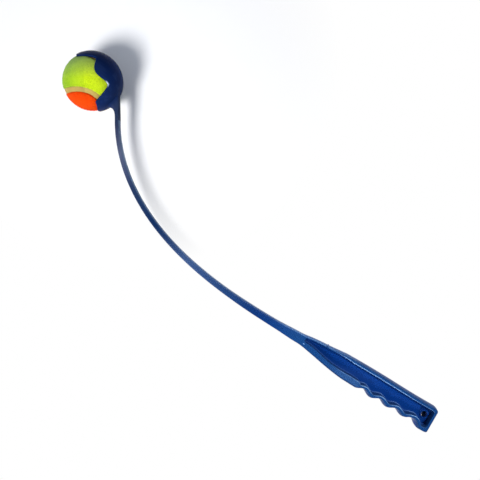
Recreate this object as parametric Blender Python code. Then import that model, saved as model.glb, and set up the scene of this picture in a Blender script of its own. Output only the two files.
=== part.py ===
"""Ball launcher lying on its side with a ball snapped into its cup.

Metres, +Z up. The origin is the centre of the grip's flat butt face. +X runs along the grip
to the arm, +Y is the throwing side with the finger grooves and the mouth of the cup, and +Z is
square to the plane of the arm.
"""

from math import asin, atan2, cos, pi, radians, sin, sqrt

import bmesh
import bpy
from mathutils import Vector

# Ball
BALL_RADIUS = 0.03175
FELT_THICKNESS = 0.0030
FELT_EDGE_DROP = 0.0007
CORE_WALL = 0.0033
SEAM_WIDTH = 0.0056
SEAM_DROP = 0.0007
BALL_GAP = 0.0003
BALL_TURN = (radians(156), radians(-8), radians(102))
SEAM_LOBE_SHARE = 0.8
WELD_DISTANCE = 0.000003
PANEL_STEPS = 32
PANEL_COLUMN_SHARES = (-1.0, -0.9, -0.62, -0.32, 0.0, 0.32, 0.62, 0.9, 1.0)
CORE_SEGMENTS = 24
CORE_RINGS = 5

# Cup
CUP_CLEARANCE = 0.0004
CUP_BACK_WALL = 0.0040
CUP_LIP_WALL = 0.0019
CUP_RINGS = 9
CUP_LIP_STEPS = 4
# Lobes and notches of the cup's edge: angle round its axis from the top prong, angle away from
# its back, and the number of steps from the one before
CUP_EDGE = (
    (radians(0), radians(97), 0),
    (radians(37), radians(94), 4),
    (radians(59), radians(58), 6),
    (radians(89), radians(67), 5),
    (radians(124), radians(53), 6),
    (radians(150), radians(91), 7),
    (radians(180), radians(96), 4),
)
CUP_SIDE_STEP = 0.0303
CUP_REACH = 0.0439
MOUTH_TURN = radians(110.5)

# Neck between the arm and the cup
NECK_PLACE = radians(52)
NECK_SPREAD = radians(20)
NECK_SIDE_FLARE = 0.0035
NECK_AHEAD_SHARE = 1.2
NECK_FLARE_SHARE = 0.6
NECK_STEPS = 10

# Arm
ARM_LENGTH = 0.3430
ARM_TURN = radians(60.5)
ARM_EVEN_BEND_SHARE = 0.19
ARM_BEND_EXPONENT = 2.4
ARM_ROOT_THICKNESS = 0.0130
ARM_TIP_THICKNESS = 0.0058
ARM_HALF_DEPTH = 0.0065
ARM_EDGE_RADIUS = 0.0013
ARM_SIDE_LEAN = radians(10)
ARM_STEPS = 32
# Share of the arm's length, and share of the way from the root's to the tip's thickness
ARM_TAPER_SHARES = (
    (0.0, 0.0), (0.09, 0.39), (0.22, 0.58), (0.30, 0.69), (0.50, 0.82), (0.80, 0.92),
    (1.0, 1.0),
)

# Grip
GRIP_LENGTH = 0.1820
GRIP_BACK = 0.0170
GRIP_FRONT = 0.0170
GRIP_HALF_DEPTH = 0.0130
GRIP_EDGE_RADIUS = 0.0012
GRIP_SIDE_LEAN = radians(17)
BUTT_BACK_CORNER = 0.0042
BUTT_FRONT_CORNER = 0.0022
BUTT_EDGE_ROUND = 0.0016
ROOT_CENTRE = 0.0056
FINGER_PITCH = 0.0227
FINGER_DEPTH = 0.0035
FINGER_FIRST = 0.0163
FINGER_COUNT = 4
SIDE_STEPS = 3
EDGE_STEPS = 3
GRIP_CORNER_STEPS = 6
GROOVE_STEPS = 6
GRIP_STEP = 0.0070
# Share of the grip's length, and share of the way from the grip's to the arm's edge
BACK_SHARES = (
    (0.0, 0.0), (0.57, 0.0), (0.64, 0.02), (0.71, 0.15), (0.785, 0.31), (0.855, 0.53),
    (0.91, 0.73), (1.0, 1.0),
)
FRONT_SHARES = (
    (0.0, 0.0), (0.023, 0.0), (0.085, 0.17), (0.15, 0.23), (0.27, 0.21), (0.40, 0.28),
    (0.49, 0.32), (0.585, 0.33), (0.635, 0.36), (0.71, 0.49), (0.79, 0.65), (0.855, 0.78),
    (0.905, 0.87), (0.955, 0.97), (1.0, 1.0),
)
# Share of the grip's length, and share of the way from the grip's to the arm's section
BLEND_SHARES = ((0.0, 0.0), (0.53, 0.0), (0.77, 0.45), (0.925, 0.9), (1.0, 1.0))

# Recess on each side of the grip
WEB_THICKNESS = 0.0030
FLANGE_WALL = 0.0021
END_WALL = 0.0030
END_WALL_DRAFT = 0.0008
TIP_SLOPE = 0.0030
RECESS_DRAFT = 0.0004
RECESS_FILLET = 0.0020
RECESS_EDGE_ROUND = 0.0006
RECESS_CORNER = 0.0035
RECESS_LENGTH_SHARE = 0.97
TIP_ROUND_SHARE = 0.7
DRAFT_SHARE = 0.2
FILLET_SHARE = 0.7
FILLET_MIDDLE_SHARE = 0.3

# Hang hole and gate mark
HOLE_RADIUS = 0.0038
HOLE_PLACE = 0.0088
HOLE_SIDE = 0.0012
BOSS_RADIUS = 0.0052
BOSS_HEIGHT = 0.0015
HOLE_SEGMENTS = 32
CUTTER_OVERRUN = 0.0020
GATE_RADIUS = 0.0008
GATE_HEIGHT = 0.0007
GATE_PLACE = 0.1452
GATE_SEGMENTS = 10

# Edges bent more than this stay crisp in the shading
CRISP_EDGE = radians(50)


def clear_scene():
    """Remove every object that the open scene holds."""
    for item in list(bpy.data.objects):
        bpy.data.objects.remove(item, do_unlink=True)


def plastic(name, colour, roughness):
    """Make a Principled material with one colour."""
    material = bpy.data.materials.new(name)
    material.use_nodes = True
    shader = material.node_tree.nodes["Principled BSDF"]
    shader.inputs["Base Color"].default_value = (*colour, 1.0)
    shader.inputs["Roughness"].default_value = roughness
    shader.inputs["Metallic"].default_value = 0.0
    material.diffuse_color = (*colour, 1.0)
    return material


def finish_object(name, shape, material):
    """Turn a closed bmesh into a named, smooth object whose faces point outward."""
    bmesh.ops.recalc_face_normals(shape, faces=shape.faces)
    if shape.calc_volume(signed=True) < 0:
        bmesh.ops.reverse_faces(shape, faces=shape.faces)
    mesh = bpy.data.meshes.new(name)
    shape.to_mesh(mesh)
    shape.free()
    mesh.shade_smooth()
    mesh.set_sharp_from_angle(angle=CRISP_EDGE)
    mesh.materials.append(material)
    item = bpy.data.objects.new(name, mesh)
    bpy.context.scene.collection.objects.link(item)
    return item


def join_by_boolean(item, tool, operation):
    """Fuse a hidden shape with an object, or cut it out, and keep it as a modifier."""
    tool.hide_render = True
    tool.display_type = "WIRE"
    modifier = item.modifiers.new(tool.name, "BOOLEAN")
    modifier.operation = operation
    modifier.solver = "EXACT"
    modifier.object = tool


def loft(shape, rings):
    """Bridge closed rings of points in turn and return their rows of vertices."""
    rows = [[shape.verts.new(point) for point in ring] for ring in rings]
    for row, following in zip(rows, rows[1:]):
        for index, vertex in enumerate(row):
            after = (index + 1) % len(row)
            shape.faces.new((vertex, row[after], following[after], following[index]))
    return rows


def close_fan(shape, row, point):
    """Close a ring of vertices with triangles that meet at one point."""
    middle = shape.verts.new(point)
    for index, vertex in enumerate(row):
        shape.faces.new((vertex, row[(index + 1) % len(row)], middle))


def along(table, place):
    """Follow a table of places and values with a curve that never overshoots them."""
    if place <= table[0][0]:
        return table[0][1]
    if place >= table[-1][0]:
        return table[-1][1]
    slopes = []
    for (left, low), (right, high) in zip(table, table[1:]):
        slopes.append((high - low) / (right - left))
    pulls = [0.0]
    for before, after in zip(slopes, slopes[1:]):
        pulls.append(2 * before * after / (before + after) if before * after > 0 else 0.0)
    pulls.append(0.0)
    index = max(spot for spot, entry in enumerate(table[:-1]) if entry[0] <= place)
    width = table[index + 1][0] - table[index][0]
    part = (place - table[index][0]) / width
    start, end = table[index][1], table[index + 1][1]
    ease = part * part * (3 - 2 * part)
    bend = pulls[index] * (1 - part) - pulls[index + 1] * part
    return blend(start, end, ease) + part * (1 - part) * width * bend


def blend(start, end, share):
    """Go a share of the way from one value to another."""
    return start + (end - start) * share


def corner_inset(distance, radius):
    """Say how far a rounded corner draws an edge in at a distance from the end."""
    if distance >= radius:
        return 0.0
    return radius - sqrt(radius ** 2 - (radius - max(distance, 0.0)) ** 2)


def side_profile(half_depth, edge_radius, lean):
    """List (inset, height) points from a side's crest over its rounded top edge."""
    bow = (half_depth - edge_radius * (1 - sin(lean))) / sin(lean)
    points = []
    for step in range(SIDE_STEPS):
        angle = lean * step / SIDE_STEPS
        points.append((bow * (1 - cos(angle)), bow * sin(angle)))
    for step in range(EDGE_STEPS + 1):
        angle = lean + (pi / 2 - lean) * step / EDGE_STEPS
        inset = bow * (1 - cos(lean)) + edge_radius * (cos(lean) - cos(angle))
        points.append((inset, bow * sin(lean) + edge_radius * (sin(angle) - sin(lean))))
    return points


def whole_ring(upper):
    """Mirror the upper half of a section to get its closed ring."""
    lower = [(side, -height) for side, height in reversed(upper[1:-1])]
    return upper + lower


def grip_back(place):
    """Distance of the grip's back edge from the axis."""
    root = ARM_ROOT_THICKNESS / 2 + ROOT_CENTRE
    edge = blend(GRIP_BACK, root, along(BACK_SHARES, place / GRIP_LENGTH))
    return edge - corner_inset(place, BUTT_BACK_CORNER)


def grip_front(place):
    """Distance of the finger side from the axis, with its grooves."""
    root = ARM_ROOT_THICKNESS / 2 - ROOT_CENTRE
    edge = blend(GRIP_FRONT, root, along(FRONT_SHARES, place / GRIP_LENGTH))
    turn = (place - FINGER_FIRST) / FINGER_PITCH
    if -0.5 < turn < FINGER_COUNT - 0.5:
        edge -= FINGER_DEPTH * (1 + cos(2 * pi * turn)) / 2
    return edge - corner_inset(place, BUTT_FRONT_CORNER)


def grip_section(place):
    """Section of the grip at a place along it, as (side, height) points."""
    change = along(BLEND_SHARES, place / GRIP_LENGTH)
    half_depth = blend(GRIP_HALF_DEPTH, ARM_HALF_DEPTH, change)
    half_depth -= corner_inset(place, BUTT_EDGE_ROUND)
    edge_radius = blend(GRIP_EDGE_RADIUS, ARM_EDGE_RADIUS, change)
    lean = blend(GRIP_SIDE_LEAN, ARM_SIDE_LEAN, change)
    side = side_profile(half_depth, edge_radius, lean)
    back, front = -grip_back(place), grip_front(place)
    wall = side[-1][0] + FLANGE_WALL
    half_width = (front - back) / 2 - wall
    tip = GRIP_LENGTH * RECESS_LENGTH_SHARE
    narrow = corner_inset(place - END_WALL, RECESS_CORNER)
    narrow += corner_inset(tip - place, half_width * TIP_ROUND_SHARE)
    opening = half_width - narrow
    draft = min(RECESS_DRAFT, opening * DRAFT_SHARE)
    fillet = min(RECESS_FILLET, (opening - draft) * FILLET_SHARE)
    into = (place - END_WALL) / END_WALL_DRAFT
    out = (tip - place) / TIP_SLOPE
    depth_share = min(max(min(into, out), 0.0), 1.0)
    low = WEB_THICKNESS / 2
    recess = (
        (-RECESS_EDGE_ROUND, half_depth),
        (0.0, half_depth - RECESS_EDGE_ROUND),
        (draft, low + fillet),
        (draft + fillet * FILLET_MIDDLE_SHARE, low + fillet * FILLET_MIDDLE_SHARE),
        (draft + fillet, low),
    )
    profile = list(side)
    for inset, height in recess:
        profile.append((wall + narrow + inset, blend(half_depth, height, depth_share)))
    upper = [(back + inset, height) for inset, height in profile]
    upper += [(front - inset, height) for inset, height in reversed(profile)]
    return whole_ring(upper)


def grip_places():
    """Places along the grip that its section is drawn at."""
    places = {0.0, END_WALL, END_WALL + END_WALL_DRAFT, GRIP_LENGTH}
    for step in range(1, GRIP_CORNER_STEPS + 1):
        turn = 1 - cos(pi / 2 * step / GRIP_CORNER_STEPS)
        places.add(BUTT_BACK_CORNER * turn)
        if step % 2 == 0:
            places.add(END_WALL + RECESS_CORNER * turn)
    for step in range(FINGER_COUNT * GROOVE_STEPS + 1):
        places.add(FINGER_FIRST + FINGER_PITCH * (step / GROOVE_STEPS - 0.5))
    tip = GRIP_LENGTH * RECESS_LENGTH_SHARE
    start = FINGER_FIRST + FINGER_PITCH * (FINGER_COUNT - 0.5)
    spans = round((tip - TIP_SLOPE - start) / GRIP_STEP)
    for step in range(1, spans + 1):
        places.add(blend(start, tip - TIP_SLOPE, step / spans))
    places.add(tip - TIP_SLOPE / 2)
    places.add(tip)
    return sorted(places)


def make_handle(material):
    """Grip with an I-section, finger grooves, hang hole and gate mark."""
    shape = bmesh.new()
    rings = []
    for place in grip_places():
        rings.append([(place, side, height) for side, height in grip_section(place)])
    rows = loft(shape, rings)
    shape.faces.new(rows[0])
    shape.faces.new(rows[-1])
    handle = finish_object("handle", shape, material)
    boss_depth = WEB_THICKNESS + 2 * BOSS_HEIGHT
    boss = make_cylinder("hang_boss", BOSS_RADIUS, boss_depth, HOLE_SEGMENTS, material)
    boss.location = (HOLE_PLACE, -HOLE_SIDE, 0)
    join_by_boolean(handle, boss, "UNION")
    hole_depth = boss_depth + 2 * CUTTER_OVERRUN
    hole = make_cylinder("hang_hole", HOLE_RADIUS, hole_depth, HOLE_SEGMENTS, material)
    hole.location = boss.location
    join_by_boolean(handle, hole, "DIFFERENCE")
    gate_depth = GATE_HEIGHT + CUTTER_OVERRUN
    gate = make_cylinder("gate_mark", GATE_RADIUS, gate_depth, GATE_SEGMENTS, material)
    gate.rotation_euler = (pi / 2, 0, 0)
    middle = grip_back(GATE_PLACE) + GATE_HEIGHT - gate_depth / 2
    gate.location = (GATE_PLACE, -middle, 0)
    join_by_boolean(handle, gate, "UNION")
    return handle


def make_cylinder(name, radius, depth, segments, material):
    """Closed cylinder round Z with its middle at its origin."""
    shape = bmesh.new()
    bmesh.ops.create_cone(
        shape, cap_ends=True, segments=segments, radius1=radius, radius2=radius, depth=depth
    )
    return finish_object(name, shape, material)


def arm_heading(share):
    """Heading of the arm, whose bend tightens toward the cup."""
    tightening = share ** ARM_BEND_EXPONENT
    return -ARM_TURN * blend(tightening, share, ARM_EVEN_BEND_SHARE)


def arm_path():
    """Shares, points and headings along the arm's centre line."""
    samples = ARM_STEPS * ARM_STEPS
    step_length = ARM_LENGTH / samples
    point = Vector((GRIP_LENGTH, -ROOT_CENTRE, 0))
    path = [(0.0, point.copy(), 0.0)]
    for step in range(1, samples + 1):
        heading = arm_heading((step - 0.5) / samples)
        point += step_length * Vector((cos(heading), sin(heading), 0))
        if step % ARM_STEPS == 0:
            share = step / samples
            path.append((share, point.copy(), arm_heading(share)))
    return path


def arm_section(share):
    """Section of the arm, as (side, height) points about its centre line."""
    taper = along(ARM_TAPER_SHARES, share)
    half = blend(ARM_ROOT_THICKNESS, ARM_TIP_THICKNESS, taper) / 2
    side = side_profile(ARM_HALF_DEPTH, ARM_EDGE_RADIUS, ARM_SIDE_LEAN)
    upper = [(inset - half, height) for inset, height in side]
    upper += [(half - inset, height) for inset, height in reversed(side)]
    return whole_ring(upper)


def place_section(section, point, heading):
    """Stand a section square to a heading at a point."""
    across = Vector((-sin(heading), cos(heading), 0))
    lift = Vector((0, 0, 1))
    return [point + across * side + lift * height for side, height in section]


def make_arm(material):
    """Springy arm from the grip to the neck of the cup."""
    shape = bmesh.new()
    rings = []
    for share, point, heading in arm_path():
        rings.append(place_section(arm_section(share), point, heading))
    rows = loft(shape, rings)
    shape.faces.new(rows[0])
    shape.faces.new(rows[-1])
    return finish_object("arm", shape, material)


def cup_frame():
    """Centre of the ball, and the cup's back, prong and height directions."""
    tip, heading = arm_path()[-1][1:]
    ahead = Vector((cos(heading), sin(heading), 0))
    across = Vector((-sin(heading), cos(heading), 0))
    centre = tip + ahead * CUP_REACH + across * CUP_SIDE_STEP
    mouth_angle = heading + MOUTH_TURN
    mouth = Vector((cos(mouth_angle), sin(mouth_angle), 0))
    prong = Vector((mouth.y, -mouth.x, 0))
    return centre, -mouth, prong, Vector((0, 0, 1))


def cup_edge(turn):
    """Angle of the cup's lobed edge away from its back."""
    turn = min(turn, 2 * pi - turn)
    for (start, first, _), (end, last, _) in zip(CUP_EDGE, CUP_EDGE[1:]):
        if turn <= end:
            part = (turn - start) / (end - start)
            return blend(first, last, part * part * (3 - 2 * part))
    return CUP_EDGE[-1][1]


def cup_turns():
    """Angles round the cup's axis that its wall is drawn at, closest where its edge is steep."""
    half = [0.0]
    for (start, _, _), (end, _, steps) in zip(CUP_EDGE, CUP_EDGE[1:]):
        half += [blend(start, end, step / steps) for step in range(1, steps + 1)]
    return half + [2 * pi - turn for turn in reversed(half[1:-1])]


def cup_outer_radius(angle):
    """Distance of the cup's outside from the ball's centre, thickest at the back."""
    shift = CUP_BACK_WALL - CUP_LIP_WALL
    radius = BALL_RADIUS + CUP_CLEARANCE + CUP_LIP_WALL
    return shift * cos(angle) + sqrt(radius ** 2 - (shift * sin(angle)) ** 2)


def cup_point(angle, turn, radius):
    """Point of the cup from its two angles and its distance from the ball's centre."""
    centre, back, prong, lift = cup_frame()
    outward = back * cos(angle) + (prong * cos(turn) + lift * sin(turn)) * sin(angle)
    return centre + outward * radius


def make_cup(material):
    """Lobed spherical cup whose wall thins from its back to its rounded lips."""
    inner = BALL_RADIUS + CUP_CLEARANCE
    shape = bmesh.new()
    turns = cup_turns()
    rings = []
    for step in range(1, CUP_RINGS + 1):
        share = step / CUP_RINGS
        rings.append([cup_point(cup_edge(turn) * share, turn, inner) for turn in turns])
    for step in range(1, CUP_LIP_STEPS):
        roll = pi * step / CUP_LIP_STEPS
        ring = []
        for turn in turns:
            half_wall = (cup_outer_radius(cup_edge(turn)) - inner) / 2
            middle = inner + half_wall
            angle = cup_edge(turn) + sin(roll) * half_wall / middle
            ring.append(cup_point(angle, turn, middle - half_wall * cos(roll)))
        rings.append(ring)
    for step in range(CUP_RINGS, 0, -1):
        share = step / CUP_RINGS
        ring = []
        for turn in turns:
            angle = cup_edge(turn) * share
            ring.append(cup_point(angle, turn, cup_outer_radius(angle)))
        rings.append(ring)
    rows = loft(shape, rings)
    close_fan(shape, rows[0], cup_point(0.0, 0.0, inner))
    close_fan(shape, rows[-1], cup_point(0.0, 0.0, cup_outer_radius(0.0)))
    cup = finish_object("cup", shape, material)
    join_by_boolean(cup, make_neck(material), "UNION")
    return cup


def make_neck(material):
    """Neck that flares from the arm's end into the middle of the cup's wall."""
    tip, heading = arm_path()[-1][1:]
    section = arm_section(1.0)
    start = place_section(section, tip, heading)
    ahead = Vector((cos(heading), sin(heading), 0))
    centre, back, prong, lift = cup_frame()
    half = ARM_TIP_THICKNESS / 2
    widening = 1 + NECK_SIDE_FLARE / ARM_HALF_DEPTH
    inner = BALL_RADIUS + CUP_CLEARANCE
    foot = cup_point(NECK_PLACE, pi, (inner + cup_outer_radius(NECK_PLACE)) / 2)
    end = []
    for side, height in section:
        angle = NECK_PLACE + NECK_SPREAD * side / half
        radius = (inner + cup_outer_radius(angle)) / 2
        tall = height * widening
        flat = sqrt(radius ** 2 - tall ** 2)
        end.append(centre + (back * cos(angle) - prong * sin(angle)) * flat + lift * tall)
    rings = []
    for step in range(NECK_STEPS + 1):
        part = step / NECK_STEPS
        ring = []
        for first, last in zip(start, end):
            span = (last - first).length
            outward = (last - centre).normalized()
            spread = last - foot
            spread = (spread - outward * spread.dot(outward)).normalized()
            leaving = ahead * span * NECK_AHEAD_SHARE
            arriving = spread * span * NECK_FLARE_SHARE
            ring.append(hermite(first, leaving, last, arriving, part))
        rings.append(ring)
    shape = bmesh.new()
    rows = loft(shape, rings)
    shape.faces.new(rows[0])
    close_fan(shape, rows[-1], foot)
    return finish_object("cup_neck", shape, material)


def hermite(start, start_pull, end, end_pull, part):
    """Point on a cubic that leaves and arrives along two pulls."""
    square = part * part
    cube = square * part
    return (
        start * (2 * cube - 3 * square + 1)
        + start_pull * (cube - 2 * square + part)
        + end * (3 * square - 2 * cube)
        + end_pull * (cube - square)
    )


def seam_point(turn, offset):
    """Unit direction beside the ball's seam, moved across it by an angle."""
    lobe = SEAM_LOBE_SHARE
    neck = 1 - lobe
    rise = 2 * sqrt(lobe * neck)
    on_seam = Vector((
        lobe * cos(turn) - neck * cos(3 * turn),
        lobe * sin(turn) + neck * sin(3 * turn),
        -rise * cos(2 * turn),
    ))
    heading = Vector((
        -lobe * sin(turn) + 3 * neck * sin(3 * turn),
        lobe * cos(turn) + 3 * neck * cos(3 * turn),
        2 * rise * sin(2 * turn),
    )).normalized()
    across = on_seam.cross(heading)
    return on_seam * cos(offset) + across * sin(offset)


def felt_radius_inner():
    """Inner radius of the felt and the seam, just clear of the rubber core."""
    return BALL_RADIUS - FELT_THICKNESS


def make_panel(name, swapped, material):
    """One of the two dog-bone felt panels, as a curved shell."""
    offset = (SEAM_WIDTH / 2 + BALL_GAP) / BALL_RADIUS
    outer, inner = [], []
    for step in range(PANEL_STEPS + 1):
        edge = seam_point(pi * step / PANEL_STEPS, offset)
        turn = atan2(edge.x, edge.z)
        width = asin(edge.y)
        outer_row, inner_row = [], []
        for share in PANEL_COLUMN_SHARES:
            lean = width * share
            point = Vector((cos(lean) * sin(turn), sin(lean), cos(lean) * cos(turn)))
            at_edge = abs(share) == 1 or step in (0, PANEL_STEPS)
            radius = BALL_RADIUS - (FELT_EDGE_DROP if at_edge else 0.0)
            outer_row.append(point * radius)
            inner_row.append(point * felt_radius_inner())
        outer.append(outer_row)
        inner.append(inner_row)
    shape = bmesh.new()
    sheets = []
    for rows in (outer, inner):
        if swapped:
            rows = [[(point.y, point.x, -point.z) for point in row] for row in rows]
        sheet = [[shape.verts.new(point) for point in row] for row in rows]
        for row, following in zip(sheet, sheet[1:]):
            for index in range(len(row) - 1):
                shape.faces.new((row[index], row[index + 1], following[index + 1], following[index]))
        sheets.append(sheet)
    for column in (0, -1):
        for step in range(PANEL_STEPS):
            shape.faces.new((
                sheets[0][step][column], sheets[0][step + 1][column],
                sheets[1][step + 1][column], sheets[1][step][column],
            ))
    bmesh.ops.remove_doubles(shape, verts=shape.verts, dist=WELD_DISTANCE)
    return finish_object(name, shape, material)


def make_seam(material):
    """Rubber seam that fills the channel between the felt panels."""
    half = SEAM_WIDTH / 2 / BALL_RADIUS
    shape = bmesh.new()
    rings = []
    for step in range(2 * PANEL_STEPS):
        turn = pi * step / PANEL_STEPS
        top = BALL_RADIUS - SEAM_DROP
        ring = [
            seam_point(turn, -half) * felt_radius_inner(),
            seam_point(turn, -half) * top,
            seam_point(turn, 0.0) * top,
            seam_point(turn, half) * top,
            seam_point(turn, half) * felt_radius_inner(),
        ]
        rings.append(ring)
    rows = loft(shape, rings)
    for index, vertex in enumerate(rows[-1]):
        after = (index + 1) % len(rows[0])
        shape.faces.new((vertex, rows[-1][after], rows[0][after], rows[0][index]))
    return finish_object("ball_seam", shape, material)


def make_core_half(name, side, material):
    """One of the two rubber half shells that are bonded at the ball's middle."""
    outer = felt_radius_inner() - BALL_GAP
    inner = outer - CORE_WALL
    shape = bmesh.new()
    rings = []
    for radius, order in ((outer, range(1, CORE_RINGS + 1)), (inner, range(CORE_RINGS, 0, -1))):
        for step in order:
            angle = pi / 2 * step / CORE_RINGS
            height = side * radius * cos(angle) if step < CORE_RINGS else 0.0
            ring = []
            for segment in range(CORE_SEGMENTS):
                turn = 2 * pi * segment / CORE_SEGMENTS
                flat = radius * sin(angle)
                ring.append((flat * cos(turn), flat * sin(turn), height))
            rings.append(ring)
    rows = loft(shape, rings)
    close_fan(shape, rows[0], (0, 0, side * outer))
    close_fan(shape, rows[-1], (0, 0, side * inner))
    return finish_object(name, shape, material)


def make_ball():
    """Ball of two rubber halves, two felt panels and the seam, at the cup's centre."""
    rubber = plastic("core_rubber", (0.06, 0.055, 0.05), 0.75)
    green = plastic("green_felt", (0.47, 0.74, 0.03), 0.95)
    orange = plastic("orange_felt", (0.93, 0.12, 0.01), 0.95)
    tan = plastic("seam_rubber", (0.60, 0.42, 0.19), 0.8)
    hub = bpy.data.objects.new("ball_centre", None)
    bpy.context.scene.collection.objects.link(hub)
    hub.location = cup_frame()[0]
    pieces = [
        make_core_half("core_half_upper", 1, rubber),
        make_core_half("core_half_lower", -1, rubber.copy()),
        make_panel("felt_panel_orange", False, orange),
        make_panel("felt_panel_green", True, green),
        make_seam(tan),
    ]
    for piece in pieces:
        piece.parent = hub
        piece.rotation_euler = BALL_TURN
    return pieces


def main():
    """Build the launcher and its ball."""
    clear_scene()
    make_handle(plastic("grip_plastic", (0.008, 0.047, 0.26), 0.28))
    make_arm(plastic("arm_plastic", (0.010, 0.035, 0.18), 0.28))
    make_cup(plastic("cup_plastic", (0.006, 0.020, 0.11), 0.28))
    make_ball()


if __name__ == "__main__":
    main()
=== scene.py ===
"""Looks of a moulded ball launcher lying on its side, with a two-colour felt ball in its cup.

Metres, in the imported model's own frame: +X along the grip to the arm, +Y to the throwing side
and +Z square to the plane of the arm.
"""

import logging
import math
import random
from dataclasses import dataclass
from enum import Enum
from typing import Iterable, NamedTuple, Sequence

import bmesh
import bpy
import numpy as np
from bmesh.types import BMEdge, BMFace, BMVert
from mathutils import Euler, Matrix, Vector


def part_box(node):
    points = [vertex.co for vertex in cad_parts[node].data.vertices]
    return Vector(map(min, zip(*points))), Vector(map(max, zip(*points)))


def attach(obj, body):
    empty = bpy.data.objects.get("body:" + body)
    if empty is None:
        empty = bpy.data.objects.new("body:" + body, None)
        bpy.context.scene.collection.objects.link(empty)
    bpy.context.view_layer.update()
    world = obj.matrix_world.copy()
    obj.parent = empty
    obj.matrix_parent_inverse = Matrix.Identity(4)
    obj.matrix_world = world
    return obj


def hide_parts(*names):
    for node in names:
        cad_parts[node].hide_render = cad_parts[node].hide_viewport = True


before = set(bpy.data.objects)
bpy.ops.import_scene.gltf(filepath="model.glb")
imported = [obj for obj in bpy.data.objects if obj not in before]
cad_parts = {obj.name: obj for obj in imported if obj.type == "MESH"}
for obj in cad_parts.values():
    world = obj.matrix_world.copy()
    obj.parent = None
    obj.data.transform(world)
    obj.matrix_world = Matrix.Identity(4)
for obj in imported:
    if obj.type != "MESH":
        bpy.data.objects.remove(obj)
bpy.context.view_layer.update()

LOG = logging.getLogger("ball_launcher")
# Mesh attribute of painted light: positive values are painted highlights and reflections, negative
# values are painted shade.
PAINTED_LIGHT_ATTRIBUTE = "painted_light_and_shade"
FUZZ_SEED = 7
CRISP_ANGLE = 35.0

# The picture's right and up in the plane of the arm, and how far left of the ball's centre the
# join of its core crosses the felt.
PICTURE_RIGHT = (-0.8647, -0.5022)
PICTURE_UP = (0.5022, -0.8647)
JOIN_OFFSET = 0.0012

Triple = tuple[float, float, float]
Pair = tuple[float, float]
Span = tuple[float, ...]


class Body(Enum):
    """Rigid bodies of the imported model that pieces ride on."""

    LAUNCHER = "launcher"
    BALL = "ball"


class Carving(Enum):
    """What a tool shape does to the piece that it meets."""

    JOIN = "UNION"
    CUT = "DIFFERENCE"


class SectionPoint(NamedTuple):
    """Point of a cross-section: sideways place, height and painted light, as a ring's point has it.
    """

    side: float
    height: float
    wear: float


class RingPoint(NamedTuple):
    """Point of a ring in the model's frame, with its painted light.

    Painted light runs from 0 for plain plastic to 1 for a painted highlight, and to -1 for painted
    shade in a hollow.
    """

    place: Vector
    wear: float


def blend(start: float, end: float, share: float) -> float:
    """Go a share of the way from one value to another."""
    return start + (end - start) * share


def ease(share: float) -> float:
    """Turn an even share into one that starts and ends gently."""
    share = min(max(share, 0.0), 1.0)
    return share * share * (3 - 2 * share)


def quarter(steps: int) -> list[float]:
    """Angles of a quarter turn in even steps, with both ends."""
    return [math.pi / 2 * step / steps for step in range(steps + 1)]


def corner_inset(distance: float, radius: float) -> float:
    """Measure how far a rounded corner draws an edge in.

    Args:
        distance: Distance from the end that the corner rounds off.
        radius: Radius of the corner.

    Returns:
        The inset, which is nothing past the corner.
    """
    if distance >= radius:
        return 0.0
    return radius - math.sqrt(radius**2 - (radius - max(distance, 0.0)) ** 2)


@dataclass(frozen=True)
class Track:
    """Curve through (place, value) stops that never overshoots them."""

    stops: tuple[Pair, ...]

    def at(self, place: float) -> float:
        """Read the curve.

        Args:
            place: Where to read it, held within the first and last stops.

        Returns:
            The value there.
        """
        stops = self.stops
        if place <= stops[0][0]:
            return stops[0][1]
        if place >= stops[-1][0]:
            return stops[-1][1]
        slopes = [(after[1] - before[1]) / (after[0] - before[0])
                  for before, after in zip(stops, stops[1:])]
        pulls = [0.0]
        for before, after in zip(slopes, slopes[1:]):
            same_way = before * after > 0
            pulls.append(2 * before * after / (before + after) if same_way else 0.0)
        pulls.append(0.0)
        index = max(spot for spot, stop in enumerate(stops[:-1]) if stop[0] <= place)
        width = stops[index + 1][0] - stops[index][0]
        part = (place - stops[index][0]) / width
        bend = pulls[index] * (1 - part) - pulls[index + 1] * part
        return blend(stops[index][1], stops[index + 1][1], ease(part)) + (
            part * (1 - part) * width * bend
        )


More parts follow.
